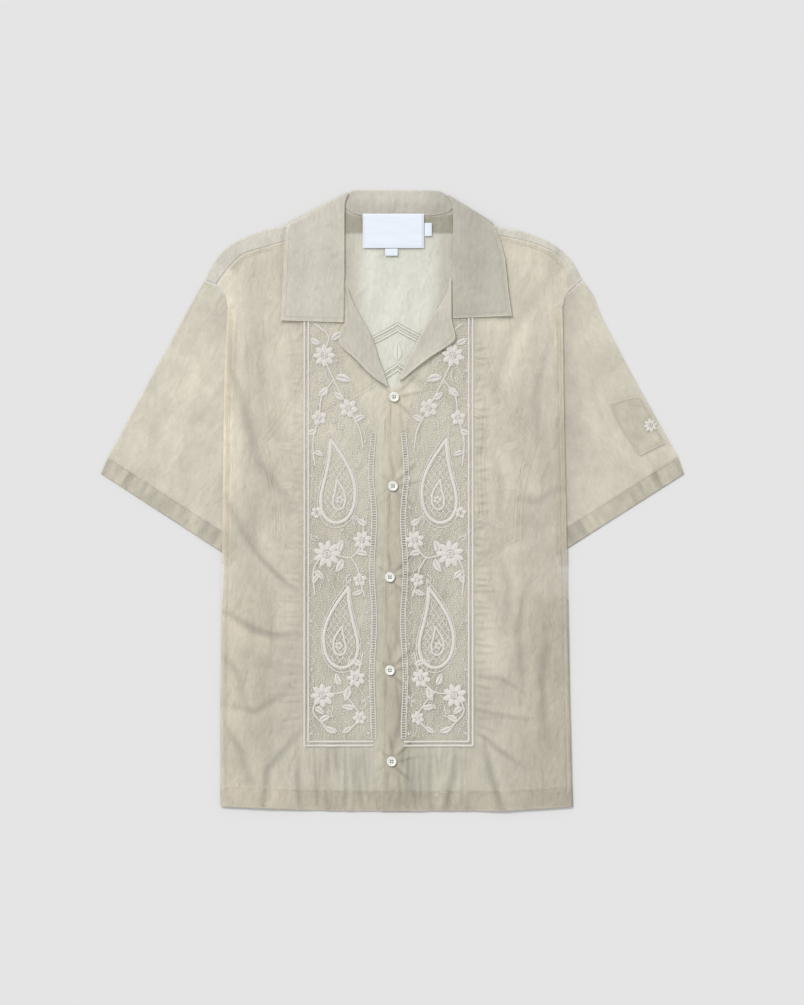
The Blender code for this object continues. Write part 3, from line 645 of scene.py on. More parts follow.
def smooth_rows(values, counts):
    """Monotone cubic curves through the rows of values, with counts[k] steps after row k."""
    slopes = np.diff(values, axis=0)
    if len(slopes) > 1:
        before, after = slopes[:-1], slopes[1:]
        total = before + after
        same_way = before * after > 0
        inner = np.where(same_way, 2 * before * after / np.where(same_way, total, 1), 0)
        tangents = np.concatenate([slopes[:1], inner, slopes[-1:]])
    else:
        tangents = np.concatenate([slopes, slopes])
    rows = []
    for k, count in enumerate(counts):
        for number in range(count):
            t = number / count
            rows.append(
                (1 + 2 * t) * (1 - t) ** 2 * values[k]
                + t * (1 - t) ** 2 * tangents[k]
                + t * t * (3 - 2 * t) * values[k + 1]
                + t * t * (t - 1) * tangents[k + 1]
            )
    rows.append(values[-1])
    return np.array(rows)


def steps_between(points, step):
    """Steps that each gap between rows needs, so that none is much over the given length."""
    lengths = np.linalg.norm(np.diff(points, axis=0), axis=2).max(axis=1)
    return np.maximum(1, np.round(lengths / step)).astype(int)


def refine(points, keep, step=STEP):
    """Finer grid through the points, with the cells that lie in kept cells."""
    points = np.array(points, float)
    row_steps = steps_between(points, step)
    column_steps = steps_between(points.transpose(1, 0, 2), step)
    fine = smooth_rows(points, row_steps)
    fine = smooth_rows(fine.transpose(1, 0, 2), column_steps).transpose(1, 0, 2)
    kept = np.repeat(np.repeat(keep, row_steps, axis=0), column_steps, axis=1)
    return fine, kept, column_steps


def add_tone(mesh, light):
    """Lightness of the cloth at each vertex, which its material multiplies its colour with."""
    light = np.asarray(light, float).reshape(len(light), -1)
    colours = np.ones((len(light), 4))
    colours[:, :3] = np.clip(light, 0, 2)
    attribute = mesh.attributes.new("tone", "FLOAT_COLOR", "POINT")
    attribute.data.foreach_set("color", colours.ravel().astype(np.float32))


def cloth_object(name, fine, kept, material, tone=None):
    """Single sheet of cloth from a grid of places in millimetres. tone(x, y) is its lightness."""
    row_count, column_count = fine.shape[:2]
    corner = np.arange(row_count * column_count).reshape(row_count, column_count)
    quads = np.stack([corner[:-1, :-1], corner[:-1, 1:], corner[1:, 1:], corner[1:, :-1]], axis=-1)[kept]
    used, quads = np.unique(quads, return_inverse=True)
    quads = quads.reshape(-1, 4)
    mesh = bpy.data.meshes.new(name)
    places = fine.reshape(-1, 3)[used]
    mesh.from_pydata((places * MM).tolist(), [], quads.tolist())
    add_tone(mesh, tone(places[:, 0], places[:, 1]) if tone else np.ones(len(places)))
    mesh.shade_smooth()
    mesh.materials.append(material)
    piece = bpy.data.objects.new(name, mesh)
    bpy.context.scene.collection.objects.link(piece)
    return piece


def turned_hem(points, depth, side=1):
    """Rows that turn the last row of a sheet in over its face and back by depth."""
    last = points[-1]
    back = points[-2] - last
    back = back / np.linalg.norm(back, axis=1)[:, None]
    along = np.gradient(last, axis=0)
    normal = np.cross(along, back)
    normal = side * normal / np.maximum(np.linalg.norm(normal, axis=1), 1e-6)[:, None]
    middle = last + normal * HEM_AIR / 2 - back * 0.1
    rows = [last + back * depth * part + normal * HEM_AIR for part in (0.02, 0.35, 0.7, 1)]
    return np.concatenate([points, [middle], rows])


def side_wrap(fold_x, y, middle_z, radius, strip, side):
    """Places round a side fold and along the strip turned under, outwards to inwards."""
    inward = 1 if side == "left" else -1
    centre_x = fold_x + inward * (radius + HALF_WALL)
    places = []
    for degrees in (45, 0, -45, -90):
        angle = math.radians(degrees)
        x = centre_x - inward * radius * math.cos(angle)
        places.append((x, y, middle_z + radius * math.sin(angle)))
    for part in STRIP_PARTS:
        places.append((centre_x + inward * strip * part, y, middle_z - radius))
    return places


def front_rows(side):
    """Ends of a front's rows: y at the side fold, and x and y at its front edge."""
    column = 1 if side == "left" else 2
    rows = []
    for y in (read(HEM, side_x(HEM[0][1], side), 1), *PANEL_ROWS):
        if y < PLAIN_TOP:
            edge_x = read(FRONT_EDGES, y, column)
            edge_y = read(HEM, edge_x, 1) if not rows else y
            rows.append((y, edge_x, edge_y))
    for top_row in FRONT_TOP_ROWS:
        rows.append((top_row[0], top_row[2 * column - 1], top_row[2 * column]))
    return rows


def front_grid(side):
    """Places of a front, the cells that are cloth, and the number of columns round its side fold."""
    height = front_z if side == "left" else front_right_z
    inward = 1 if side == "left" else -1
    seam = np.array(SHOULDER_SEAMS[side])
    seam_start, seam_end = seam[0, 1:], seam[-1, 1:]
    points = []
    zones = []
    for fold_y, edge_x, edge_y in front_rows(side):
        if fold_y < STRIP_TOP:
            zone, radius, strip, middle = "tuck", WIDE_TURN, TUCK, level(1.5)
        elif fold_y < SHOULDER_START:
            zone, radius, strip, middle = "armhole", TURN, ARMHOLE_TURN, level(2.5)
        else:
            zone, radius, strip, middle = "shoulder", 0, ARMHOLE_TURN, level(2)
        zones.append(zone)
        fold_x = side_x(fold_y, side)
        start = np.array((fold_x + inward * (radius + HALF_WALL * (zone != "shoulder")), fold_y))
        end = np.array((edge_x, edge_y))
        rising = ramp(fold_y, FAN_START, seam_start[1])
        row = []
        for column in range(FRONT_COLUMNS + 1):
            part = column / FRONT_COLUMNS
            on_seam = np.array((read(seam, part, 1), read(seam, part, 2)))
            spot = mix(start, end, part) + (on_seam - mix(seam_start, seam_end, part)) * rising
            if not points:
                spot[1] = read(HEM, spot[0], 1)
            row.append((*spot, height(*spot)))
        if zone != "shoulder":
            row[0] = (*start, middle + radius)
        folds = side_wrap(fold_x, fold_y, middle, radius, strip, side)
        points.append(folds[::-1] + row)
    wrap_count = len(folds)
    round_edge = wrap_count - 2
    keep = np.zeros((len(points) - 1, len(points[0]) - 1), bool)
    keep[:, wrap_count:] = True
    for row in range(len(keep)):
        if zones[row + 1] == "shoulder":
            continue
        tucked = zones[row + 1] == "tuck" and zones[row + 2] == "tuck"
        keep[row, round_edge:] = True
        if tucked or zones[row] == "armhole":
            keep[row] = True
    return points, keep, wrap_count


def back_grid():
    """Places of the back, the cells that are cloth, the columns round each side, its plain rows."""
    columns = BACK_COLUMNS
    last = len(columns) - 1
    side_hem = read(HEM, columns[0][0], 1) + HEM_GAP
    side_top = columns[0][2]
    spans = [(y - side_hem) / (side_top - side_hem) for y in (side_hem, *PANEL_ROWS, BACK_LAST_ROW, side_top)]
    points = []
    zones = []
    for span in spans:
        row = []
        wraps = {}
        for side, edge in (("left", 0), ("right", last)):
            y = mix(read(HEM, columns[edge][0], 1) + HEM_GAP, columns[edge][2], span)
            inward = 1 if side == "left" else -1
            inner_fold = side_x(y, side) + inward * (WIDE_TURN - TURN)
            wraps[side] = side_wrap(inner_fold, y, level(1.5), TURN, TUCK, side)
            at_fold = inner_fold + inward * (TURN + HALF_WALL)
            at_armhole = read(BACK_ARMHOLES, y, 1 if side == "left" else 2)
            edge_x = mix(at_armhole, at_fold, ramp(y, *UNDERARM))
            wraps[side + "_shift"] = edge_x - mix(columns[edge][0], columns[edge][1], span)
            if side == "left":
                zones.append("tuck" if y < BACK_STRIP_TOP else "plain")
                left_y = y
        for hem_x, top_x, top_y, _, _ in columns:
            y = mix(read(HEM, hem_x, 1) + HEM_GAP, top_y, span)
            x = mix(hem_x, top_x, span)
            for side, edge in (("left", 0), ("right", last)):
                near_side = max(0, 1 - abs(hem_x - columns[edge][0]) / BACK_EASE)
                x += wraps[side + "_shift"] * near_side
            row.append((x, y, back_z(x, y)))
        if left_y < STRIP_TOP:
            row[0] = (*row[0][:2], level(2))
            row[-1] = (*row[-1][:2], level(2))
        points.append(wraps["left"][::-1] + row + wraps["right"])
    wrap_count = len(wraps["left"])
    main_rows = len(points)
    neck = [number for number, column in enumerate(columns) if column[3] is None]

    # The top row is pulled in to the start of the shoulder fold, then goes round it
    outline = np.array([(column[1], column[2]) for column in columns])
    run = np.array([outline[min(k + 1, last)] - outline[max(k - 1, 0)] for k in range(last + 1)])
    run /= np.linalg.norm(run, axis=1)[:, None]
    inwards = np.stack([run[:, 1], -run[:, 0]], axis=1)
    ends = points[-1]
    for degrees in (-90, -45, 0, 45, 90):
        angle = math.radians(degrees)
        row = list(ends)
        for number, column in enumerate(columns):
            if number not in neck:
                spot = outline[number] + inwards[number] * (TURN + HALF_WALL - TURN * math.cos(angle))
                z = level(0.5) + collar_lift(column[1], column[2]) + TURN * math.sin(angle)
                row[wrap_count + number] = (*spot, z)
        if degrees == -90:
            points[-1] = row
        else:
            points.append(row)
    for part in STRIP_PARTS:
        row = list(ends)
        for number, column in enumerate(columns):
            if number not in neck:
                start = outline[number] + inwards[number] * (TURN + HALF_WALL)
                spot = mix(start, np.array(column[3:5]), part)
                row[wrap_count + number] = (*spot, level(1) + collar_lift(*spot) + EASE / 2 * part)
        points.append(row)
    keep = np.zeros((len(points) - 1, len(points[0]) - 1), bool)
    keep[:, wrap_count:wrap_count + last] = True
    for row in range(len(keep)):
        if row >= main_rows - 1:
            for number in range(last):
                if number in neck or number + 1 in neck:
                    keep[row, wrap_count + number] = False
        elif zones[row] == "tuck" and zones[row + 1] == "tuck":
            keep[row] = True
    return points, keep, wrap_count


def sleeve_grid(side):
    """Places of a sleeve's tube from the armhole to the cuff: under layer, outer fold, upper layer."""
    data = SLEEVES[side]
    outward = SLEEVE_OUTWARD * np.array((-1 if side == "left" else 1, 1))
    outer_start = np.array(data["outer"][0][1:])
    start_inner = np.array(data["armhole"][-1][1:])
    end_inner = np.array(data["inner_cuff"])
    points = []
    for span in np.linspace(0, 1, SLEEVE_ROWS):
        outer = np.array((read(data["outer"], span, 1), read(data["outer"], span, 2)))
        centre = outer - outward * (TURN + HALF_WALL)
        inner = mix(start_inner, end_inner, span)
        under = []
        for part in SLEEVE_PARTS:
            edge = np.array((read(data["armhole"], part, 1), read(data["armhole"], part, 2)))
            bow = edge - mix(outer_start, start_inner, part)
            under.append(mix(centre, inner, part) + bow * (1 - span) ** 2)
        row = [(*spot, level(0)) for spot in under]
        for degrees in (-45, 0, 45):
            angle = math.radians(degrees)
            spot = centre + outward * TURN * math.cos(angle)
            row.append((*spot, level(0.5) + TURN * math.sin(angle)))
        row += [(*spot, level(1)) for spot in under[::-1]]
        points.append(row)
    return np.array(points)


def unit(vector):
    return vector / np.linalg.norm(vector)


def collar_grid():
    """Places of the collar: stand, roll and leaf across, left front end to right front end along."""
    points = []
    for section in COLLAR_SECTIONS:
        roll, seam, outer = (np.array(section[k:k + 2], float) for k in (0, 2, 4))
        turn = math.radians(section[6])
        slope = np.array(SHOULDER_SLOPES["left" if roll[0] < 0 else "right"])
        normal = np.array((*(slope * math.cos(turn)), math.sin(turn)))
        inward = unit(unit(outer - roll) + unit(seam - roll))
        on_fold = abs(section[6]) <= FOLD_TURN
        base = roll if on_fold else roll + inward * (TURN + HALF_WALL)
        in_front = section[6] > FOLD_TURN

        def place(spot, layers):
            axis_z = front_z(*spot) - TURN if in_front else level(1.5)
            return np.array((*spot, axis_z)) + normal * TURN * layers

        row = [place(mix(seam, base, part), 1) for part in (0, 0.5, 1)]
        for degrees in (-45, 0, 45):
            angle = math.radians(degrees)
            round_roll = np.array((-inward[0], -inward[1], 0)) * TURN * math.cos(angle)
            row.append(place(base, 2) + round_roll + normal * TURN * math.sin(angle))
        ease = EASE / TURN if in_front else 0
        loose = EDGE_LIFT / TURN if in_front else 0
        for part in (0, 0.25, 0.5, 0.75, 0.9, 1):
            row.append(place(mix(base, outer, part), 3 + ease * part + loose * ramp(part, 0.55, 1)))
        points.append(row)
    keep = np.ones((len(points) - 1, len(points[0]) - 1), bool)
    keep[:COLLAR_STAND[0], :STAND_COLUMNS] = False
    keep[COLLAR_STAND[1]:, :STAND_COLUMNS] = False
    return points, keep


def rever_grid(side):
    """Places of a rever from its free edge to its roll."""
    height = front_z if side == "left" else front_right_z
    radius = (PITCH + EASE) / 2
    points = []
    for roll_x, roll_y, edge_x, edge_y in REVERS[side]:
        edge, roll = np.array((edge_x, edge_y)), np.array((roll_x, roll_y))
        inward = unit(edge - roll)
        base = roll + inward * (radius + HALF_WALL)
        row = []
        for part in REVER_PARTS:
            spot = mix(edge, base, part)
            row.append((*spot, height(*spot) + PITCH + EASE + EDGE_LIFT * ramp(part, 0.5, 0)))
        middle = height(*base) + radius
        for degrees in (45, 0, -45, -90):
            angle = math.radians(degrees)
            spot = base - inward * radius * math.cos(angle)
            row.append((*spot, middle + radius * math.sin(angle)))
        points.append(row)
    return points


def pocket_grid():
    """Places of the patch pocket, whose inner edge is bowed."""
    inner_top, outer_top, outer_bottom, inner_bottom = (np.array(c, float) for c in POCKET_CORNERS)
    points = []
    for down in np.linspace(0, 1, POCKET_STEPS + 1):
        start = mix(inner_top, inner_bottom, down)
        start[0] -= POCKET_BOW * math.sin(math.pi * down)
        end = mix(outer_top, outer_bottom, down)
        points.append([(*mix(start, end, part), 0) for part in np.linspace(0, 1, POCKET_STEPS + 1)])
    return np.array(points)


# Surface of each panel with its small folds


def crease_profile(x, y, points, steep, soft):
    """How much a place lies on the crest of a crease, and how much at the foot of its steep side."""
    points = np.array(points, float)
    lengths = np.linalg.norm(np.diff(points, axis=0), axis=1)
    starts = np.concatenate([[0], np.cumsum(lengths)[:-1]])
    nearest = np.full(np.broadcast(x, y).shape, np.inf)
    side = np.zeros(nearest.shape)
    along = np.zeros(nearest.shape)
    for (x1, y1), (x2, y2), length, start in zip(points, points[1:], lengths, starts):
        run_x, run_y = (x2 - x1) / length, (y2 - y1) / length
        far = (x - x1) * run_x + (y - y1) * run_y
        part = np.clip(far, 0, length)
        distance = np.hypot(x - x1 - run_x * part, y - y1 - run_y * part)
        closer = distance < nearest
        nearest = np.where(closer, distance, nearest)
        side = np.where(closer, run_x * (y - y1) - run_y * (x - x1), side)
        along = np.where(closer, start + part, along)
    width = np.where(side > 0, soft, steep)
    ends = np.sin(math.pi * np.clip(along / lengths.sum() * 0.9 + 0.05, 0, 1)) ** 0.6
    foot = np.where(side > 0, nearest + steep, np.abs(nearest - steep))
    return np.exp(-(nearest / width) ** 2) * ends, np.exp(-(foot / steep) ** 2) * ends


def border_puckers(side):
    """Short creases that the border's stitching pulls up, outwards beside it and down below it."""
    pick = np.random.default_rng(31 if side == "left" else 32)
    way = -1 if side == "left" else 1
    edge = ZONE_INNER[side] + way * (ZONE_WIDTH - 1)
    folds = []
    y = ZONE_TOP - 30
    while y > ZONE_BOTTOM + 14:
        length = pick.uniform(7, 20) * (1.5 if y < -80 else 0.8)
        drop = pick.uniform(-4, 3) - 6 * ramp(y, -200, -270)
        folds.append((((edge, y), (edge + way * length, y + drop)), 1.7, 3.6, pick.uniform(0.4, 1.0)))
        y -= pick.uniform(6.5, 11)
    out = 6.0
    while out < ZONE_WIDTH - 6:
        x = ZONE_INNER[side] + way * out
        length = pick.uniform(24, 66)
        end = (x + pick.uniform(-4, 4), ZONE_BOTTOM - 4 - length)
        folds.append((((x, ZONE_BOTTOM - 4), end), 2.0, 4.0, pick.uniform(0.6, 1.3)))
        out += pick.uniform(5.5, 9)
    return folds


def front_folds():
    """All creases of the fronts."""
    folds = list(FRONT_CREASES) + border_puckers("left") + border_puckers("right")
    for button_x, button_y in BUTTON_PLACES:
        for x1, y1, x2, y2, height in BUTTON_CREASES:
            folds.append((((button_x + x1, button_y + y1), (button_x + x2, button_y + y2)), 1.8, 5, height))
    return folds


def flatness(x, y):
    """1 where a front is free to fold, 0 under its buttons and at its sides."""
    free = ramp(from_side(x, y), 2, 14)
    for button_x, button_y in BUTTON_PLACES:
        free = free * ramp(np.hypot(x - button_x, y - button_y), 5, 11)
    return free


def front_relief(x, y):
    """Small folds of the fronts, never deeper than the air below them."""
    waves = 0.22 * rumpled(x, y, 34, 51) + 0.1 * rumpled(x, y, 13, 54)
    folds = np.zeros(np.broadcast(x, y).shape)
    for points, steep, soft, height in front_folds():
        folds = folds + crease_profile(x, y, points, steep, soft)[0] * height
    return (waves + HIGHEST_CREASE * np.tanh(folds / HIGHEST_CREASE)) * flatness(x, y)


def front_tone(x, y):
    """Lightness of the fronts, which hidden layers change; with painted shade at the feet of creases and
    along the ladder bands, painted highlight on crests, and painted shadow under the edges of collar and
    revers.
    """
    tone = 1 + read(FRONT_FADE, y, 1)
    for at_x, at_y, wide, high, change in FRONT_PATCHES:
        spread = ((x - at_x) / wide) ** 2 + ((y - at_y) / high) ** 2
        tone = tone + change * np.exp(-spread)
    crest_highlight = np.zeros(np.broadcast(x, y).shape)
    crease_shade = np.zeros(np.broadcast(x, y).shape)
    for points, steep, soft, height in front_folds():
        crest, foot = crease_profile(x, y, points, steep, soft)
        crest_highlight = crest_highlight + height * crest
        crease_shade = crease_shade + height * foot
    # painted shade at the foot of each crease's steep side, painted highlight along its crest
    tone = tone - 0.43 * np.tanh(crease_shade / 1.5) + 0.13 * np.tanh(crest_highlight / 1.4)
    for side in ("left", "right"):
        out = (x - ZONE_INNER[side]) * (-1 if side == "left" else 1)
        begun = ramp(out, zone_start(y) - 1, zone_start(y) + 3)
        ground = begun * (1 - ramp(out, ZONE_WIDTH - 8, ZONE_WIDTH - 3))
        tone = tone - GROUND_SHADES[side] * ground * ramp(y, ZONE_BOTTOM - 2, ZONE_BOTTOM + 3)
        for ladder in LADDERS:
            line = np.array(ladder, float)
            line[:, 0] = ZONE_INNER[side] + line[:, 0] * (-1 if side == "left" else 1)
            # painted shade along each ladder band
            tone = tone - 0.2 * np.exp(-(to_line(x, y, smooth_curve(line, 4)) / 3.2) ** 2)
    tone = tone - 0.05 * (1 - ramp(y, HEM[1][1] + BODY_HEM - 1, HEM[1][1] + BODY_HEM + 1))
    streaks = crinkle(x, y, 8, 60, seed=44)
    veiled = ramp(x + 5 * crinkle(x, y, 70, 40, seed=45), 138, 146)
    tone = tone - (0.045 + 0.018 * streaks) * veiled
    # painted shadow under the edges of collar and revers
    for edges, depth in PAINTED_EDGE_SHADOWS:
        tone = tone - depth * np.exp(-(to_line(x, y, edges) / 2.6) ** 2)
    clouds = 0.6 * rumpled(x, y, 46, 61) + 0.45 * rumpled(x, y, 20, 64) + 0.25 * rumpled(x, y, 8, 67)
    return tone * (1 + 0.14 * clouds)


def to_line(x, y, points):
    """Distance to a line of straight pieces."""
    nearest = np.full(np.broadcast(x, y).shape, np.inf)
    for (x1, y1), (x2, y2) in zip(points, points[1:]):
        run_x, run_y = x2 - x1, y2 - y1
        part = np.clip(((x - x1) * run_x + (y - y1) * run_y) / (run_x ** 2 + run_y ** 2), 0, 1)
        nearest = np.minimum(nearest, np.hypot(x - x1 - part * run_x, y - y1 - part * run_y))
    return nearest


def front_top(x, y):
    """Middle of the upper front at any place of the body."""
    return np.where(x > FRONT_EDGES[-1][2], front_right_z(x, y), front_z(x, y)) + front_relief(x, y)


def back_relief(x, y):
    waves = crinkle(x, y, 9, 70, seed=7) * 0.08 + crinkle(x, y, 26, 160, seed=8) * 0.1
    return (waves + 0.12 * rumpled(x, y, 30, 71)) * ramp(from_side(x, y), 2, 14)


def back_tone(x, y):
    """Lightness of the back: darker over the collar's hidden leaf and beside the neck opening."""
    over_leaf = ramp(y, 308.5, 310.5) * ramp(x, -68, -60) * (1 - ramp(x, 76, 84))
    beside = (1 - ramp(x, -50, -24)) * ramp(x, -90, -58) + ramp(x, 38, 62) * (1 - ramp(x, 70, 100))
    deep = ramp(y, 110, 200)
    streaks = 0.03 * crinkle(x, y, 26, 240, seed=42)
    light = 1 - 0.51 * over_leaf - 0.24 * beside * deep * (1 - over_leaf) + streaks
    light = light * (1 + 0.04 * rumpled(x, y, 40, 74))
    outside = ramp(np.abs(x - 7), 66, 80)[:, None]
    veiled = np.maximum(over_leaf, beside * deep)[:, None] * (1 - outside)
    tint = 1 - outside * (1 - np.array(SHOULDER_TINT)) - veiled * (1 - np.array(VEILED_TINT))
    return light[:, None] * tint


def sleeve_relief(x, y, side):
    """Small folds of a sleeve's upper layer, which run from the shoulder to the cuff."""
    along = np.array((-0.475, -0.88)) if side == "left" else np.array((0.475, -0.88))
    run = x * along[0] + y * along[1]
    across = -x * along[1] + y * along[0]
    seed = 11 if side == "left" else 12
    return crinkle(across, run, 12, 60, seed=seed) * 0.06 + 0.2 * rumpled(x, y, 30, seed + 80)


def sleeve_top(x, y, side):
    """Middle of a sleeve's upper layer, away from its edges."""
    return level(1) + ridges(x, y, SLEEVE_FOLDS[side]) + sleeve_relief(x, y, side)


# Materials

def new_node(tree, kind, **settings):
    node = tree.nodes.new(kind)
    for name, value in settings.items():
        setattr(node, name, value)
    return node


def stretched_noise(tree, coordinates, angle, across, along, detail):
    """Noise with features of the given lengths in metres, turned about the vertical."""
    turned = new_node(tree, "ShaderNodeMapping")
    turned.inputs["Rotation"].default_value = (0, 0, angle)
    sized = new_node(tree, "ShaderNodeMapping")
    sized.inputs["Scale"].default_value = (1 / across, 1 / along, 1 / across)
    noise = new_node(tree, "ShaderNodeTexNoise")
    noise.inputs["Scale"].default_value = 1
    noise.inputs["Detail"].default_value = detail
    noise.inputs["Distortion"].default_value = 0.6
    tree.links.new(coordinates, turned.inputs["Vector"])
    tree.links.new(turned.outputs["Vector"], sized.inputs["Vector"])
    tree.links.new(sized.outputs["Vector"], noise.inputs["Vector"])
    return noise.outputs["Fac"]


def add_bump(tree, height, normal, distance, strength=1.0):
    bump = new_node(tree, "ShaderNodeBump")
    bump.inputs["Distance"].default_value = distance
    bump.inputs["Strength"].default_value = strength
    tree.links.new(height, bump.inputs["Height"])
    if normal is not None:
        tree.links.new(normal, bump.inputs["Normal"])
    return bump.outputs["Normal"]


def shade_by(tree, colour, factor, low, high):
    """Colour times a number from low to high as factor goes from 0.3 to 0.7."""
    spread = new_node(tree, "ShaderNodeMapRange")
    spread.inputs["From Min"].default_value = 0.3
    spread.inputs["From Max"].default_value = 0.7
    spread.inputs["To Min"].default_value = low
    spread.inputs["To Max"].default_value = high
    scaled = new_node(tree, "ShaderNodeVectorMath", operation="SCALE")
    scaled.inputs[0].default_value = colour
    tree.links.new(factor, spread.inputs["Value"])
    tree.links.new(spread.outputs["Result"], scaled.inputs["Scale"])
    return scaled.outputs["Vector"]


def new_material(name):
    """A material with its node tree and main shader."""
    material = bpy.data.materials.new(name)
    material.use_nodes = True
    return material, material.node_tree, material.node_tree.nodes["Principled BSDF"]


def cloth_material(name, colour, alpha, angle=0, crinkled=1.0):
    """Sheer plain weave, softly crinkled along its length."""
    material, tree, shader = new_material(name)
    where = new_node(tree, "ShaderNodeTexCoord").outputs["Object"]
    fine = stretched_noise(tree, where, angle, 0.0036, 0.0085, 3)
    medium = stretched_noise(tree, where, angle, 0.014, 0.028, 2)
    clouds = stretched_noise(tree, where, angle, 0.03, 0.05, 2)
    normal = add_bump(tree, medium, None, 0.0034 * crinkled)
    normal = add_bump(tree, fine, normal, 0.0009 * crinkled)
    for direction in ("X", "Y"):
        threads = new_node(tree, "ShaderNodeTexWave", bands_direction=direction)
        threads.inputs["Scale"].default_value = THREADS
        threads.inputs["Distortion"].default_value = 0.4
        tree.links.new(where, threads.inputs["Vector"])
        normal = add_bump(tree, threads.outputs["Fac"], normal, 0.00004)
    tree.links.new(normal, shader.inputs["Normal"])
    tone = new_node(tree, "ShaderNodeAttribute", attribute_name="tone")
    toned = new_node(tree, "ShaderNodeVectorMath", operation="MULTIPLY")
    mottled = new_node(tree, "ShaderNodeVectorMath", operation="MULTIPLY")
    tree.links.new(shade_by(tree, colour, clouds, 0.95, 1.05), mottled.inputs[0])
    tree.links.new(shade_by(tree, (1, 1, 1), fine, 0.94, 1.06), mottled.inputs[1])
    tree.links.new(mottled.outputs["Vector"], toned.inputs[0])
    tree.links.new(tone.outputs["Color"], toned.inputs[1])
    tree.links.new(toned.outputs["Vector"], shader.inputs["Base Color"])
    shader.inputs["Alpha"].default_value = alpha
    shader.inputs["Roughness"].default_value = 0.62
    shader.inputs["Specular IOR Level"].default_value = 0.25
    shader.inputs["Sheen Weight"].default_value = 0.12
    shader.inputs["Sheen Roughness"].default_value = 0.4
    return material


THREADS = 900 / (2 * math.pi)   # wave scale for a thread every 1.1 mm


# Scene

def make_stage():
    """Pale floor, even sky light, soft sun from the upper left, and the camera straight above."""
    bpy.ops.mesh.primitive_plane_add(size=6, location=(0, 0, -0.0002))
    floor = bpy.context.object
    floor.name = "floor"
    paper, _, shader = new_material("floor_paper")
    shader.inputs["Base Color"].default_value = (*FLOOR_COLOUR, 1)
    shader.inputs["Roughness"].default_value = 1
    shader.inputs["Specular IOR Level"].default_value = 0
    floor.data.materials.append(paper)

    world = bpy.data.worlds.new("studio")
    world.use_nodes = True
    background = world.node_tree.nodes["Background"]
    background.inputs["Color"].default_value = (1, 1, 1, 1)
    background.inputs["Strength"].default_value = SKY_LIGHT
    bpy.context.scene.world = world
    lamp = bpy.data.lights.new("window", "SUN")
    lamp.energy = SUN_LIGHT
    lamp.angle = math.radians(SUN_ANGLE)
    sun = bpy.data.objects.new("window", lamp)
    sun.rotation_euler = (math.radians(90 - SUN_HEIGHT), 0, math.radians(SUN_TURN))
    bpy.context.scene.collection.objects.link(sun)

    lens = bpy.data.cameras.new("camera")
    lens.lens = 85
    lens.sensor_width = 36
    camera = bpy.data.objects.new("camera", lens)
    camera.location = (PHOTO_CENTRE[0] * MM, PHOTO_CENTRE[1] * MM, PHOTO_HEIGHT * MM * 85 / 36)
    bpy.context.scene.collection.objects.link(camera)
    bpy.context.scene.camera = camera
    bpy.context.scene.view_settings.view_transform = "Standard"


def dress(piece, nodes=()):
    """Hangs a piece on the root body and hides the parts it stands for."""
    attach(piece, "root")
    if nodes:
        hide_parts(*nodes)
    return piece


def with_hem(fine, kept, depth, side):
    """Adds a turned hem after the grid's last row."""
    fine = turned_hem(fine, depth, side)
    added = len(fine) - len(kept) - 1
    return fine, np.concatenate([kept, np.repeat(kept[-1:], added, axis=0)])


def make_front(side, material):
    points, keep, wrap_count = front_grid(side)
    fine, kept, column_steps = refine(points[::-1], keep[::-1], FRONT_STEP)
    panel = int(column_steps[:wrap_count].sum())
    x, y = fine[:, panel:, 0], fine[:, panel:, 1]
    height = front_z if side == "left" else front_right_z
    fine[:, panel:, 2] = height(x, y) + front_relief(x, y)
    fine, kept = with_hem(fine, kept, BODY_HEM, -1 if side == "left" else 1)
    return cloth_object("cloth_front_" + side, fine, kept, material, front_tone)


def make_back(material):
    points, keep, wrap_count = back_grid()
    fine, kept, column_steps = refine(points[::-1], keep[::-1])
    first = int(column_steps[:wrap_count].sum())
    last = len(fine[0]) - int(column_steps[-wrap_count:].sum())
    panel = fine[:, first:last]
    flat_part = panel[..., 1] < BACK_LAST_ROW
    x, y = panel[..., 0], panel[..., 1]
    panel[..., 2] += np.where(flat_part, back_relief(x, y), 0)
    fine, kept = with_hem(fine, kept, BODY_HEM, 1)
    return cloth_object("cloth_back", fine, kept, material, back_tone)


def make_sleeve(side, material):
    points = sleeve_grid(side)
    keep = np.ones((len(points) - 1, len(points[0]) - 1), bool)
    fine, kept, column_steps = refine(points, keep)
    half = len(SLEEVE_PARTS) + 3
    first = int(column_steps[:half].sum())
    part = np.linspace(0, 1, fine.shape[1] - first)
    x, y = fine[:, first:, 0], fine[:, first:, 1]
    loose = ramp(part, 0, 0.15) * ramp(part, 1, 0.8)
    fine[:, first:, 2] += (ridges(x, y, SLEEVE_FOLDS[side]) + sleeve_relief(x, y, side)) * loose
    fine, kept = with_hem(fine, kept, SLEEVE_HEM, -1 if side == "left" else 1)
    return cloth_object("cloth_sleeve_" + side, fine, kept, material, sleeve_tone(side))


def make_flat_piece(name, points, keep, material, tone=None, step=STEP):
    fine, kept, _ = refine(points, keep, step)
    return cloth_object(name, fine, kept, material, tone)


def all_cells(points):
    return np.ones((len(points) - 1, len(points[0]) - 1), bool)


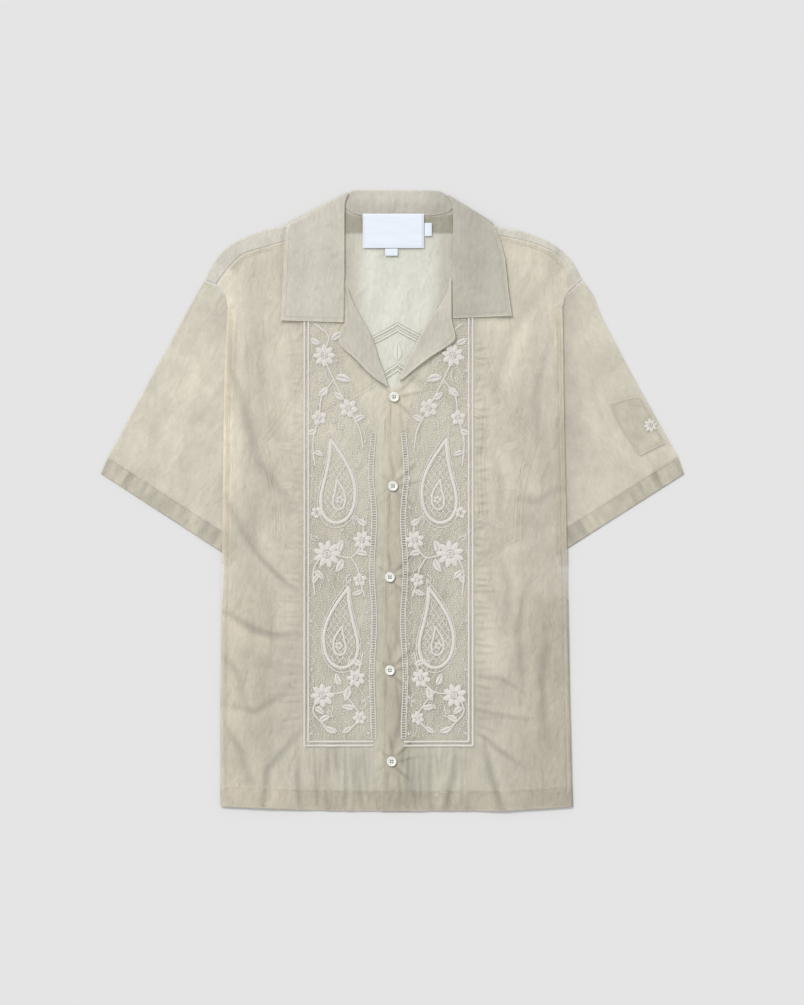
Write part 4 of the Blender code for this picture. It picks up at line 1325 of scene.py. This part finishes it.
def sleeve_tone(side):
    """Lightness of a sleeve: darker at its hem, with painted shadow near the armhole."""
    data = SLEEVES[side]
    cuff = np.array((data["outer"][-1][1:], data["inner_cuff"]), float)
    run = unit(cuff[1] - cuff[0])

    def tone(x, y):
        up = np.abs((x - cuff[0, 0]) * run[1] - (y - cuff[0, 1]) * run[0])
        hem = 1 - ramp(up, SLEEVE_HEM - 1, SLEEVE_HEM + 1)
        along = (x - cuff[0, 0]) * run[0] + (y - cuff[0, 1]) * run[1]
        hem = hem * (1 + 1.5 * soft_noise(along, up, 4.5, 26, 95) + 1.1 * soft_noise(along, up, 13, 40, 96))
        # painted shadow of the body on the sleeve beside the armhole
        near_body = 1 - ramp(np.abs(x - PLACKET_MIDDLE), 192, 232)
        shade, armhole_shadow = SLEEVE_SHADES[side]
        clouds = 0.06 * rumpled(x, y, 44, 81) + 0.05 * rumpled(x, y, 17, 84) + 0.035 * rumpled(x, y, 7, 87)
        return 1 - shade - 0.09 * hem - armhole_shadow * near_body + clouds

    return tone


def pocket_tone(x, y):
    return 0.82 + 0.11 * rumpled(x, y, 11, 101)


def rever_tone(x, y):
    return 0.93 + 0.05 * rumpled(x, y, 16, 104)


def collar_tone(x, y):
    """The right leaf is a shade darker than the left one, and the stand lies between."""
    stand = ramp(y, 330, 334) * (1 - ramp(np.abs(x - 6), 52, 62)) * (1 - ramp(y, 340, 352))
    right = 0.19 * ramp(x, 20, 74) + 0.06 * ramp(x, 70, 100) * (1 - ramp(x, 96, 120))
    return 1.0 - 0.12 * stand + 0.03 * rumpled(x, y, 26, 91) - right


def make_cloth():
    """All cloth pieces by name."""
    front_cloth = cloth_material("front_cloth", FRONT_COLOUR, 0.5)
    back_cloth = cloth_material("back_cloth", BACK_COLOUR, 0.5)
    collar_cloth = cloth_material("collar_cloth", COLLAR_COLOUR, 0.75, crinkled=0.6)
    sleeve_cloths = {
        "left": cloth_material("sleeve_cloth_left", SLEEVE_COLOUR, 0.5, math.radians(28), 0.6),
        "right": cloth_material("sleeve_cloth_right", SLEEVE_COLOUR, 0.5, math.radians(-28), 0.6),
    }
    back = make_back(back_cloth)
    dress(back, ["back"])
    collar = make_flat_piece("cloth_collar", *collar_grid(), collar_cloth, collar_tone)
    dress(collar, ["collar"])
    for side in ("left", "right"):
        front = make_front(side, front_cloth)
        dress(front, ["front_" + side])
        sleeve = make_sleeve(side, sleeve_cloths[side])
        dress(sleeve, ["sleeve_" + side])
        points = rever_grid(side)
        rever = make_flat_piece("cloth_rever_" + side, points, all_cells(points), collar_cloth, rever_tone)
        dress(rever, ["rever_" + side])
    points = pocket_grid()
    points[..., 2] = sleeve_top(points[..., 0], points[..., 1], "right") + PITCH + EASE
    cells = all_cells(points)
    pocket = make_flat_piece("cloth_sleeve_pocket", points, cells, sleeve_cloths["right"], pocket_tone)
    dress(pocket, ["sleeve_pocket"])
    return {piece.name: piece for piece in bpy.context.scene.objects if piece.name.startswith("cloth_")}


# Labels


def make_labels():
    """Bare satin labels: a flat one, and two small ones folded double, sewn in at one end."""
    satin = satin_material("label_satin")
    thread = thread_material("label_thread", LABEL_THREAD, 0.0005)
    for name, (left, bottom, right, top) in LABELS.items():
        height = LABEL_HEIGHTS[name]
        if name == "label_main":
            x, y = np.meshgrid(np.linspace(left, right, 24), np.linspace(bottom, top, 14))
            bow = np.sin(math.pi * (x - left) / (right - left)) * LABEL_SLACK
            edge = np.minimum(np.minimum(x - left, right - x), np.minimum(y - bottom, top - y))
            points = np.stack([x, y, height + bow - 0.35 * (edge < 0.4)], axis=-1)
        else:
            part = np.concatenate([np.linspace(0, 0.97, 7), [1], np.linspace(0.97, 0, 7)])
            layer = np.repeat((0, -0.25, -0.5), (7, 1, 7))
            down = name == "label_size"
            ends = np.linspace(left, right, 6) if down else np.linspace(bottom, top, 6)
            points = []
            for out, drop in zip(part, layer):
                z = height + drop + LABEL_SLACK * math.sin(math.pi * out) * (1 if drop == 0 else 0)
                fold = mix(top, bottom, out) if down else mix(left, right, out)
                points.append([(end, fold, z) if down else (fold, end, z) for end in ends])
            points = np.array(points)
        label = make_flat_piece("cloth_" + name, points, all_cells(points), satin, step=1.1)
        dress(label, [name])
    sewing = Stitching()
    left, bottom, right, top = LABELS["label_main"]
    height = LABEL_HEIGHTS["label_main"]
    for at_x in (left + 1.4, right - 1.4):
        sewing.dashes([(at_x, bottom + 1, height), (at_x, top - 1, height)], 1.6, 0.7, 0.4, 0.2, 0.1)
    dress(sewing.piece("stitching_labels", None, thread))


def satin_material(name):
    """White satin with a fine rib across."""
    material, tree, shader = new_material(name)
    where = new_node(tree, "ShaderNodeTexCoord").outputs["Object"]
    rib = new_node(tree, "ShaderNodeTexWave", bands_direction="Y")
    rib.inputs["Scale"].default_value = THREADS * 1.6
    rib.inputs["Distortion"].default_value = 0.3
    tree.links.new(where, rib.inputs["Vector"])
    patches = stretched_noise(tree, where, 0, 0.02, 0.004, 2)
    tree.links.new(add_bump(tree, rib.outputs["Fac"], None, 0.00003), shader.inputs["Normal"])
    tree.links.new(shade_by(tree, LABEL_COLOUR, patches, 0.97, 1.02), shader.inputs["Base Color"])
    shader.inputs["Roughness"].default_value = 0.5
    shader.inputs["Specular IOR Level"].default_value = 0.3
    return material


# Buttons


def ring(mesh, x, y, z, radius, sides):
    """Round row of vertices in millimetres."""
    made = []
    for number in range(sides):
        angle = 2 * math.pi * number / sides
        spot = (x + radius * math.cos(angle), y + radius * math.sin(angle), z)
        made.append(mesh.verts.new([value * MM for value in spot]))
    return made


def band(mesh, lower, upper):
    """Faces between two rings."""
    for k in range(len(lower)):
        after = (k + 1) % len(lower)
        mesh.faces.new((lower[k], lower[after], upper[after], upper[k]))


def make_button(number, x, y, resin, thread):
    """Turned button with a rim and four holes, and the thread through them."""
    mesh = bmesh.new()
    rings = [
        ring(mesh, x, y, BUTTON_BASE + up * BUTTON_THICKNESS, out * BUTTON_RADIUS, BUTTON_SIDES)
        for out, up in BUTTON_PROFILE
    ]
    for lower, upper in zip(rings, rings[1:]):
        band(mesh, lower, upper)
    holes = [math.radians(45 + 90 * k) for k in range(4)]
    spots = [(x + BUTTON_HOLE_REACH * math.cos(a), y + BUTTON_HOLE_REACH * math.sin(a)) for a in holes]
    top = BUTTON_BASE + BUTTON_PROFILE[-1][1] * BUTTON_THICKNESS
    upper_rings = [ring(mesh, *spot, top, BUTTON_HOLE, 16) for spot in spots]
    lower_rings = [ring(mesh, *spot, BUTTON_BASE, BUTTON_HOLE, 16) for spot in spots]
    for lower, upper in zip(lower_rings, upper_rings):
        band(mesh, lower, upper)
    for outer, inner in ((rings[-1], upper_rings), (rings[0], lower_rings)):
        edges = []
        for loop in (outer, *inner):
            for k, vertex in enumerate(loop):
                after = loop[(k + 1) % len(loop)]
                edges.append(mesh.edges.get((vertex, after)))
        bmesh.ops.triangle_fill(mesh, edges=edges, use_beauty=True)
    bmesh.ops.recalc_face_normals(mesh, faces=mesh.faces)
    data = bpy.data.meshes.new("button_body_%d" % number)
    mesh.to_mesh(data)
    mesh.free()
    data.materials.append(resin)
    data.shade_smooth()
    data.set_sharp_from_angle(angle=math.radians(38))
    body = bpy.data.objects.new("button_body_%d" % number, data)
    bpy.context.scene.collection.objects.link(body)
    dress(body, ["button_%d" % number])
    sewing = Stitching()
    for first, second in ((0, 2), (1, 3)):
        ends = np.array((spots[first], spots[second]))
        path = evenly(ends.mean(axis=0) + (ends - ends.mean(axis=0)) * BUTTON_THREAD_REACH, 0.7)
        sewing.thread(np.column_stack([path, np.full(len(path), top)]), 0.6, 0.35, 0.08)
    dress(sewing.piece("button_thread_%d" % number, None, thread))


def resin_material():
    """Pearly resin."""
    material, tree, shader = new_material("button_pearl")
    where = new_node(tree, "ShaderNodeTexCoord").outputs["Object"]
    swirl = stretched_noise(tree, where, 0.6, 0.004, 0.0016, 3)
    tree.links.new(shade_by(tree, PEARL_COLOUR, swirl, 0.9, 1.06), shader.inputs["Base Color"])
    shader.inputs["Roughness"].default_value = 0.22
    shader.inputs["Coat Weight"].default_value = 0.4
    shader.inputs["Coat Roughness"].default_value = 0.1
    return material


def make_buttons():
    resin = resin_material()
    thread = thread_material("button_thread", BUTTON_THREAD, 0.0005)
    for number, (x, y) in enumerate(BUTTON_PLACES, 1):
        make_button(number, x, y, resin, thread)


# Seams: folded ridges of the cloth itself, and rows of stitches beside them


def hem_line(start, end, up):
    """Line at a height above the body's hem between two x."""
    x = np.arange(start, end, 3.0)
    return np.stack([x, read(HEM, x, 1) + up], axis=1)


def side_line(side, inwards, low, high):
    """Line beside a side fold between two heights."""
    y = np.arange(low, high, 3.0)
    return np.stack([side_x(y, side) + inwards * (1 if side == "left" else -1), y], axis=1)


def sew_front(side, pieces, seam_cloth, thread):
    """Hem, edge and side seams of a front."""
    way = 1 if side == "left" else -1
    ridge, rows = Stitching(), Stitching()
    side_end = side_x(HEM[0][1], side) + 7 * way
    edge = read(FRONT_EDGES, -350, 2) + 1
    ends = (side_end, edge) if way == 1 else (edge, side_end)
    rows.dashes(hem_line(*ends, BODY_HEM - HEM_STITCH_IN), 2.3, 0.9, 0.5, 0.25, 0.1)
    ridge.satin(hem_line(*ends, 0.9), 1.6, 0.35, 0.1)
    ridge.satin(side_line(side, 4.6, -338, 214), 2.2, 0.4, 0.05)
    rows.dashes(side_line(side, 7.2, -338, 214), 2.3, 0.9, 0.45, 0.2, 0.1)
    seam = offset(evenly([spot[1:] for spot in SHOULDER_SEAMS[side]][1:-1], 3), -2.2 * way)
    ridge.satin(seam, 2.4, 0.45, 0.05)
    rows.dashes(offset(seam, -2.8 * way), 2.3, 0.9, 0.45, 0.2, 0.1)
    if side == "right":
        y = np.arange(-350, 128, 3.0)
        placket = np.stack([read(FRONT_EDGES, y, 2), y], axis=1)
        ridge.satin(placket + (0.7, 0), 1.3, 0.35, 0.05)
        rows.dashes(placket + (4.4, 0), 2.3, 0.9, 0.45, 0.22, 0.1)
    top = top_of(pieces["cloth_front_left"], pieces["cloth_front_right"])
    dress(ridge.piece("seam_ridge_" + side, top, seam_cloth))
    dress(rows.piece("seam_rows_" + side, top, thread))


def sew_sleeve(side, pieces, seam_cloth, thread):
    """Hem rows of a sleeve, its outer fold's ridge and the armhole seam."""
    data = SLEEVES[side]
    way = 1 if side == "left" else -1
    outer, inner = np.array(data["outer"][-1][1:]), np.array(data["inner_cuff"])
    up = unit(np.array((-(inner - outer)[1], (inner - outer)[0]))) * way
    cuff = evenly((mix(outer, inner, 0.02), mix(outer, inner, 0.93)), 3)
    rows, ridge = Stitching(), Stitching()
    rows.dashes(cuff + up * (SLEEVE_HEM - HEM_STITCH_IN), 2.3, 0.9, 0.5, 0.25, 0.1)
    ridge.satin(cuff + up * 0.9, 1.6, 0.35, 0.05)
    top = top_of(pieces["cloth_sleeve_" + side])
    dress(ridge.piece("sleeve_ridge_" + side, top, seam_cloth))
    dress(rows.piece("sleeve_rows_" + side, top, thread))


def sew_collar(pieces, seam_cloth, thread):
    """Piped edge and a row of stitches round each leaf and each rever."""
    ridge, rows = Stitching(), Stitching()
    outer = [section[4:6] for section in COLLAR_SECTIONS]
    left = [COLLAR_SECTIONS[0][:2], *outer[:6]]
    right = [COLLAR_SECTIONS[-1][:2], *outer[:23:-1]]
    for path, way in ((left, -1), (right, 1)):
        ridge.satin(evenly(offset(path, 0.6 * way))[1:-1], 1.1, 0.35, 0.05)
        rows.dashes(evenly(offset(path, COLLAR_STITCH_IN * way))[2:-2], 2.1, 0.8, 0.42, 0.2, 0.08)
    for side, way in (("left", 1), ("right", -1)):
        edge = [spot[2:] for spot in REVERS[side]][1:REVER_CORNERS[side]]
        ridge.satin(evenly(offset(edge, -0.6 * way)), 1.0, 0.3, 0.05)
        rows.dashes(evenly(offset(edge, -4 * way)), 2.1, 0.8, 0.42, 0.2, 0.08)
    neck = [section[2:4] for section in COLLAR_SECTIONS[12:19]]
    ridge.satin(evenly(neck) - (0, 0.8), 1.6, 0.4, 0.2)
    top = top_of(pieces["cloth_collar"], pieces["cloth_rever_left"], pieces["cloth_rever_right"])
    dress(ridge.piece("collar_ridge", top, seam_cloth))
    dress(rows.piece("collar_rows", top, thread))


def sew_pocket(pieces, seam_cloth, thread, bright):
    """Turned edges and stitches of the pocket, with a small flower on it."""
    grid = pocket_grid()
    border = np.concatenate([grid[0, :, :2], grid[1:, -1, :2], grid[-1, -2::-1, :2], grid[-2::-1, 0, :2]])
    ridge, rows, flower = Stitching(), Stitching(), Stitching()
    middle = border.mean(axis=0)
    ridge.satin(evenly(middle + (border - middle) * 0.975), 1.5, 0.4, 0.05)
    rows.dashes(evenly(middle + (border - middle) * 0.90), 2.1, 0.8, 0.42, 0.2, 0.08)
    flower.flower(*POCKET_FLOWER, 8, 8, 0.2)
    top = top_of(pieces["cloth_sleeve_pocket"], pieces["cloth_sleeve_right"])
    dress(ridge.piece("pocket_ridge", top, seam_cloth))
    dress(rows.piece("pocket_rows", top, thread))
    dress(flower.piece("pocket_flower", top, bright))


# Embroidery: raised stitching, gathered into one mesh for each panel

SATIN_SECTION = np.array(((-1, 0), (-0.62, 0.78), (0, 1), (0.62, 0.78), (1, 0)))
THREAD_SECTION = np.array(((-1, 0), (0, 1), (1, 0)))


class Stitching:
    """Strips of thread on a surface, given in millimetres as seen from above."""

    def __init__(self):
        self.spots = []
        self.rises = []
        self.runs = []
        self.quads = []
        self.count = 0

    def strip(self, path, width, rise, lift, section):
        """One strip along a path of x, y or x, y, z, with one width or one for each point."""
        path = np.array(path, float)
        base = path[:, 2] if path.shape[1] == 3 else np.zeros(len(path))
        path = path[:, :2]
        along = np.gradient(path, axis=0)
        along /= np.maximum(np.linalg.norm(along, axis=1), 1e-9)[:, None]
        across = np.stack([-along[:, 1], along[:, 0]], axis=1)
        half = np.broadcast_to(np.asarray(width, float) / 2, len(path))
        offsets = half[:, None] * section[:, 0]
        spots = path[:, None] + across[:, None] * offsets[..., None]
        full = rise * np.minimum(1, half / max(half.max(), 1e-6) * 1.6)
        heights = lift + base[:, None] + full[:, None] * section[:, 1]
        run = np.concatenate([[0], np.cumsum(np.linalg.norm(np.diff(path, axis=0), axis=1))])
        size = len(section)
        corner = self.count + np.arange(len(path) * size).reshape(len(path), size)
        quads = np.stack([corner[:-1, :-1], corner[1:, :-1], corner[1:, 1:], corner[:-1, 1:]], axis=-1)
        self.spots.append(spots.reshape(-1, 2))
        self.rises.append(heights.ravel())
        self.runs.append(np.stack([np.repeat(run, size), offsets.ravel()], axis=1))
        self.quads.append(quads.reshape(-1, 4))
        self.count += len(path) * size

    def satin(self, path, width, rise=0.55, lift=0.35):
        self.strip(path, width, rise, lift, SATIN_SECTION)

    def thread(self, path, width=0.9, rise=0.4, lift=0.15):
        self.strip(path, width, rise, lift, THREAD_SECTION)

    def dashes(self, path, length=2.4, gap=1.1, width=0.55, rise=0.3, lift=0.12):
        """Running stitches along a path."""
        path = np.array(path, float)
        run = np.concatenate([[0], np.cumsum(np.linalg.norm(np.diff(path, axis=0), axis=1))])
        for start in np.arange(0, run[-1] - length, length + gap):
            at = np.array((start, start + length))
            ends = np.stack([np.interp(at, run, path[:, k]) for k in range(path.shape[1])], axis=1)
            self.thread(ends, width, rise, lift)

    def leaf(self, base, angle, length, width, bend=0.0):
        """Satin leaf in two halves with a vein between them."""
        t = np.linspace(0, 1, 11)
        for side in (-1, 1):
            swell = np.sin(math.pi * t ** 0.8) ** 0.8
            off = side * swell * width * 0.27 + bend * length * (t * t - t)
            path = np.stack([t * length, off], axis=1)
            self.satin(turned(path, base, angle), np.maximum(swell * width * 0.5, 0.4))

    def flower(self, x, y, radius, petals, turn=0.0, plump=1.0):
        """Open flower: satin petals round a ring of knots."""
        t = np.linspace(0, 1, 8)
        width = 2 * math.pi * radius * 0.66 / petals * 0.92 * plump
        for k in range(petals):
            swell = np.sin(math.pi * (0.12 + 0.84 * t)) ** 0.7
            path = np.stack([radius * (0.3 + 0.7 * t), np.zeros(len(t))], axis=1)
            self.satin(turned(path, (x, y), turn + 2 * math.pi * k / petals), swell * width)
        self.thread(circle(x, y, radius * 0.2, 9), radius * 0.16, 0.7, 0.4)

    def star(self, x, y, radius, turn=0.0):
        for k in range(3):
            path = turned(np.array(((-radius, 0), (0, 0), (radius, 0))), (x, y), turn + math.pi * k / 3)
            self.thread(path, (0.5, 1.1, 0.5), 0.5, 0.35)

    def tendril(self, base, angle, size, way=1):
        """Curl of thin cord."""
        t = np.linspace(0, 1, 22)
        bearing = way * t * t * 7.5
        step = size / 9 * (1 - 0.62 * t)
        path = np.cumsum(np.stack([np.cos(bearing), np.sin(bearing)], axis=1) * step[:, None], axis=0)
        self.thread(turned(path, base, angle), 1.3, 0.45, 0.3)

    def ladder(self, path, width=5.0, spacing=2.7):
        """Two rails with rungs between them."""
        path = resampled(path, spacing)
        along = np.gradient(path, axis=0)
        along /= np.linalg.norm(along, axis=1)[:, None]
        across = np.stack([-along[:, 1], along[:, 0]], axis=1) * width / 2
        self.thread(path + across, 1.2, 0.5, 0.3)
        self.thread(path - across, 1.2, 0.5, 0.3)
        for spot, side in zip(path, across):
            self.thread((spot - side, spot + side), 1.0, 0.4, 0.25)

    def lattice(self, outline, spacing=5.5, lean=0.95):
        """Crossed threads inside a closed outline."""
        low, high = outline.min(axis=0), outline.max(axis=0)
        middle = (low + high) / 2
        reach = np.linalg.norm(high - low) / 2
        for angle in (lean, math.pi - lean):
            for offset in np.arange(-reach, reach, spacing):
                line = np.stack([np.arange(-reach, reach, 1.3)] * 2, axis=1)
                line[:, 1] = offset
                line = turned(line, middle, angle)
                within = inside(outline, line)
                for run in np.split(np.arange(len(line)), np.flatnonzero(np.diff(within)) + 1):
                    if within[run[0]] and len(run) > 2:
                        self.thread(line[run], 0.8, 0.3, 0.15)

    def piece(self, name, height, material):
        """Finished mesh, standing on the surface height(x, y)."""
        spots = np.concatenate(self.spots)
        z = np.concatenate(self.rises)
        if height:
            z = z + height(spots[:, 0], spots[:, 1])
        places = np.column_stack([spots, z]) * MM
        quads = np.concatenate(self.quads)
        mesh = bpy.data.meshes.new(name)
        mesh.from_pydata(places.tolist(), [], quads.tolist())
        runs = np.concatenate(self.runs)[quads.ravel()] * MM
        layer = mesh.uv_layers.new(name="stitch")
        layer.data.foreach_set("uv", runs.ravel().astype(np.float32))
        add_tone(mesh, np.ones(len(places)))
        mesh.shade_smooth()
        mesh.materials.append(material)
        made = bpy.data.objects.new(name, mesh)
        bpy.context.scene.collection.objects.link(made)
        return made


def turned(path, base, angle):
    """The path turned by an angle about the origin and moved to base."""
    cosine, sine = math.cos(angle), math.sin(angle)
    path = np.array(path, float)
    x = path[:, 0] * cosine - path[:, 1] * sine
    y = path[:, 0] * sine + path[:, 1] * cosine
    return np.stack([x + base[0], y + base[1]], axis=1)


def circle(x, y, radius, count=25):
    angle = np.linspace(0, 2 * math.pi, count)
    return np.stack([x + radius * np.cos(angle), y + radius * np.sin(angle)], axis=1)


def resampled(path, spacing):
    """Even points along a path, which is first rounded through its corners."""
    path = np.array(path, float)
    return evenly(smooth_curve(path) if len(path) > 2 else path, spacing)


def smooth_curve(path, count=10):
    """Round curve through the points."""
    path = np.array(path, float)
    padded = np.concatenate([[2 * path[0] - path[1]], path, [2 * path[-1] - path[-2]]])
    t = np.linspace(0, 1, count, endpoint=False)[:, None]
    parts = []
    for a, b, c, d in zip(padded, padded[1:], padded[2:], padded[3:]):
        slope = (c - a) / 2
        bend = a - 2.5 * b + 2 * c - d / 2
        twist = 1.5 * (b - c) + (d - a) / 2
        parts.append(b + t * slope + t * t * bend + t ** 3 * twist)
    return np.concatenate(parts + [path[-1:]])


def offset(path, distance):
    """The path moved sideways, to the left of its run, with its corners kept sharp."""
    path = np.array(path, float)
    run = np.diff(path, axis=0)
    normals = np.stack([-run[:, 1], run[:, 0]], axis=1) / np.linalg.norm(run, axis=1)[:, None]
    before = np.concatenate([normals[:1], normals])
    after = np.concatenate([normals, normals[-1:]])
    reach = 1 + (before * after).sum(axis=1)
    return path + distance * (before + after) / np.maximum(reach, 0.4)[:, None]


def evenly(path, spacing=2.0):
    """Even points along a path whose corners stay sharp."""
    path = np.array(path, float)
    run = np.concatenate([[0], np.cumsum(np.linalg.norm(np.diff(path, axis=0), axis=1))])
    at = np.linspace(0, run[-1], max(2, int(round(run[-1] / spacing)) + 1))
    return np.stack([np.interp(at, run, path[:, 0]), np.interp(at, run, path[:, 1])], axis=1)


def top_of(*pieces):
    """Height in millimetres of the highest of the pieces at places x, y."""
    trees = []
    for piece in pieces:
        faces = [tuple(face.vertices) for face in piece.data.polygons]
        trees.append(BVHTree.FromPolygons([vertex.co.copy() for vertex in piece.data.vertices], faces))

    def height(x, y):
        found = []
        last = 0.003
        for at_x, at_y in zip(x, y):
            hits = [tree.ray_cast((at_x * MM, at_y * MM, 0.1), (0, 0, -1))[0] for tree in trees]
            heights = [hit[2] for hit in hits if hit is not None]
            last = max(heights) if heights else last
            found.append(last / MM)
        return np.array(found)

    return height


def inside(outline, spots):
    """Which of the spots lie inside a closed outline."""
    x, y = spots[:, 0, None], spots[:, 1, None]
    x1, y1 = outline[:-1, 0], outline[:-1, 1]
    x2, y2 = outline[1:, 0], outline[1:, 1]
    crosses = (y1 > y) != (y2 > y)
    at = x1 + (y - y1) * (x2 - x1) / np.where(y2 == y1, 1e-9, y2 - y1)
    return (crosses & (x < at)).sum(axis=1) % 2 == 1


def paisley(x, y, width, height, way, angle=0.0):
    """Closed drop with a curled tip."""
    t = np.linspace(0, 2 * math.pi, 61)
    across = width / 2 * np.sin(t) * np.sin(t / 2) ** 1.3
    up = height / 2 * np.cos(t)
    across = across + way * width * 0.34 * np.maximum(0, (up + height * 0.1) / height) ** 2 * 2.6
    return turned(np.stack([across, up], axis=1), (x, y), angle)


def zone_start(y):
    """How far out from its inner edge the embroidery starts."""
    (low_y, low), (high_y, high) = NECK_SLANT
    return np.interp(y, (low_y, high_y), (low, high))


def embroider_front(side, thread):
    """Vine with open flowers, paisleys filled with lattice, a plain border and a quilted ground."""
    work = Stitching()
    way = -1 if side == "left" else 1
    inner = ZONE_INNER[side]
    pick = np.random.default_rng(5 if side == "left" else 6)

    def at(points):
        points = np.array(points, float)
        return np.stack([inner + way * points[:, 0], points[:, 1]], axis=1)

    def bearing(angle):
        return angle if way == 1 else math.pi - angle

    # The border is plain cords side by side, with a square corner
    for inset, width in BORDER_CORDS:
        edge = ZONE_WIDTH - 4 - inset
        foot = ZONE_BOTTOM + inset
        work.satin(at(resampled(((edge, ZONE_TOP), (edge, foot)), 2)), width, 0.5, 0.3)
        work.satin(at(resampled(((edge, foot), (BORDER_END, foot)), 2)), width, 0.5, 0.3)

    for x, y, width, height, tip, lean in PAISLEYS:
        outline = paisley(x, y, width, height, tip, lean)
        work.satin(at(outline), 3.8, 0.7, 0.35)
        heart = np.array(((x, y - height * 0.12),))
        work.lattice(at(heart + (outline - heart) * 0.86))
        work.thread(at(heart + (outline - heart) * 1.16), 1.1, 0.4, 0.25)
        small = paisley(x, y - height * 0.16, width * 0.36, height * 0.36, tip, lean)
        work.satin(at(small), 2.6, 0.7, 0.4)
        work.flower(*at(((x, y - height * 0.22),))[0], width * 0.09, 5)
    for stem in STEMS:
        work.satin(at(resampled(stem, 2)), 1.9, 0.5, 0.3)
    for x, y, radius, petals in FLOWERS:
        work.flower(*at(((x, y),))[0], radius, petals, pick.uniform(0, 1))
    for x, y, angle, length, width in LEAVES:
        work.leaf(at(((x, y),))[0], bearing(angle), length, width, 0.3 * way)
    for x, y in STARS:
        work.star(*at(((x, y),))[0], 2.6, pick.uniform(0, 1))
    for x, y, angle, size, curl in TENDRILS:
        work.tendril(at(((x, y),))[0], bearing(angle), size, curl * way)
    for ladder in LADDERS:
        work.ladder(at(smooth_curve(ladder)), 5.4, 2.9)

    # Quilting lines, a little uneven, from the neck to the hem end of the zone
    for out in np.arange(2, ZONE_WIDTH - 8, 2.9):
        y = np.arange(ZONE_TOP, ZONE_BOTTOM + 6, -3.0)
        x = out + 2.6 * crinkle(np.full(len(y), out), y, 14, 16, seed=21) + 0.5 * pick.standard_normal(len(y))
        open_part = x > zone_start(y) + 1
        line = at(np.stack([x, y], axis=1))[open_part]
        if len(line) > 3:
            work.dashes(line, 2.3, 1.2, 0.7, 0.32)
    return work.piece("embroidery_" + side, front_top, thread)


def thread_material(name, colour, stitch=0.0009):
    """Soft shiny thread, laid in close slanted stitches."""
    material, tree, shader = new_material(name)
    place = new_node(tree, "ShaderNodeUVMap", uv_map="stitch")
    slant = new_node(tree, "ShaderNodeMapping")
    slant.inputs["Rotation"].default_value = (0, 0, math.radians(24))
    stitches = new_node(tree, "ShaderNodeTexWave", bands_direction="X")
    stitches.inputs["Scale"].default_value = 1 / stitch / 20 * 2 * math.pi
    stitches.inputs["Distortion"].default_value = 1.2
    stitches.inputs["Detail Scale"].default_value = 2
    tree.links.new(place.outputs["UV"], slant.inputs["Vector"])
    tree.links.new(slant.outputs["Vector"], stitches.inputs["Vector"])
    tree.links.new(add_bump(tree, stitches.outputs["Fac"], None, 0.0003), shader.inputs["Normal"])
    # painted highlight on each stitch and painted shade between stitches, on the same waves as the bump
    tree.links.new(shade_by(tree, colour, stitches.outputs["Fac"], 0.78, 1.08), shader.inputs["Base Color"])
    shader.inputs["Roughness"].default_value = 0.45
    shader.inputs["Specular IOR Level"].default_value = 0.35
    shader.inputs["Sheen Weight"].default_value = 0.15
    return material


def embroider_back(thread, shade_thread):
    """Lobed rings of couched cord, with petals between them and a dark strip of painted shadow under and
    beside the cord.
    """
    work = Stitching()
    shade = Stitching()
    turn = np.linspace(0, 2 * math.pi, 361)
    for radius, lobes, depth in MEDALLION_LINES:
        out = radius * (1 - depth * np.abs(np.sin(turn * lobes / 2)) ** 0.8)
        line = np.stack([MEDALLION[0] + out * np.sin(turn), MEDALLION[1] + out * np.cos(turn)], axis=1)
        work.thread(line, 1.9, 0.5, 0.12)
        # flat dark strip wider than the cord: painted shadow along the couched line
        shade.thread(line, 4.4, 0.02, 0.04)
    count, out, length, width = MEDALLION_PETALS
    for number in range(count):
        angle = 2 * math.pi * (number + 0.5) / count
        base = (MEDALLION[0] + out * math.cos(angle), MEDALLION[1] + out * math.sin(angle))
        work.leaf(base, angle, length, width)

    def top(x, y):
        return back_z(x, y) + back_relief(x, y)

    dress(work.piece("embroidery_back", top, thread))
    dress(shade.piece("couching_shadow", top, shade_thread))


def make_embroidery():
    thread = thread_material("thread", THREAD_COLOUR)
    for side in ("left", "right"):
        dress(embroider_front(side, thread))
    shadow_cloth = cloth_material("couching_shadow", COUCHING_SHADOW_COLOUR, 0.35)
    embroider_back(thread_material("back_thread", BACK_THREAD), shadow_cloth)
    return thread


def make_sewing(pieces, bright):
    seam_cloth = cloth_material("seam_cloth", FRONT_COLOUR, 0.3, crinkled=0.3)
    edge_cloth = cloth_material("edge_cloth", SEAM_COLOUR, 0.8, crinkled=0.3)
    thread = thread_material("sewing_thread", STITCH_COLOUR, 0.0006)
    for side in ("left", "right"):
        sew_front(side, pieces, seam_cloth, thread)
        sew_sleeve(side, pieces, seam_cloth, thread)
    sew_collar(pieces, edge_cloth, thread)
    sew_pocket(pieces, seam_cloth, thread, bright)


make_stage()
cloth_pieces = make_cloth()
bright_thread = make_embroidery()
make_labels()
make_buttons()
make_sewing(cloth_pieces, bright_thread)
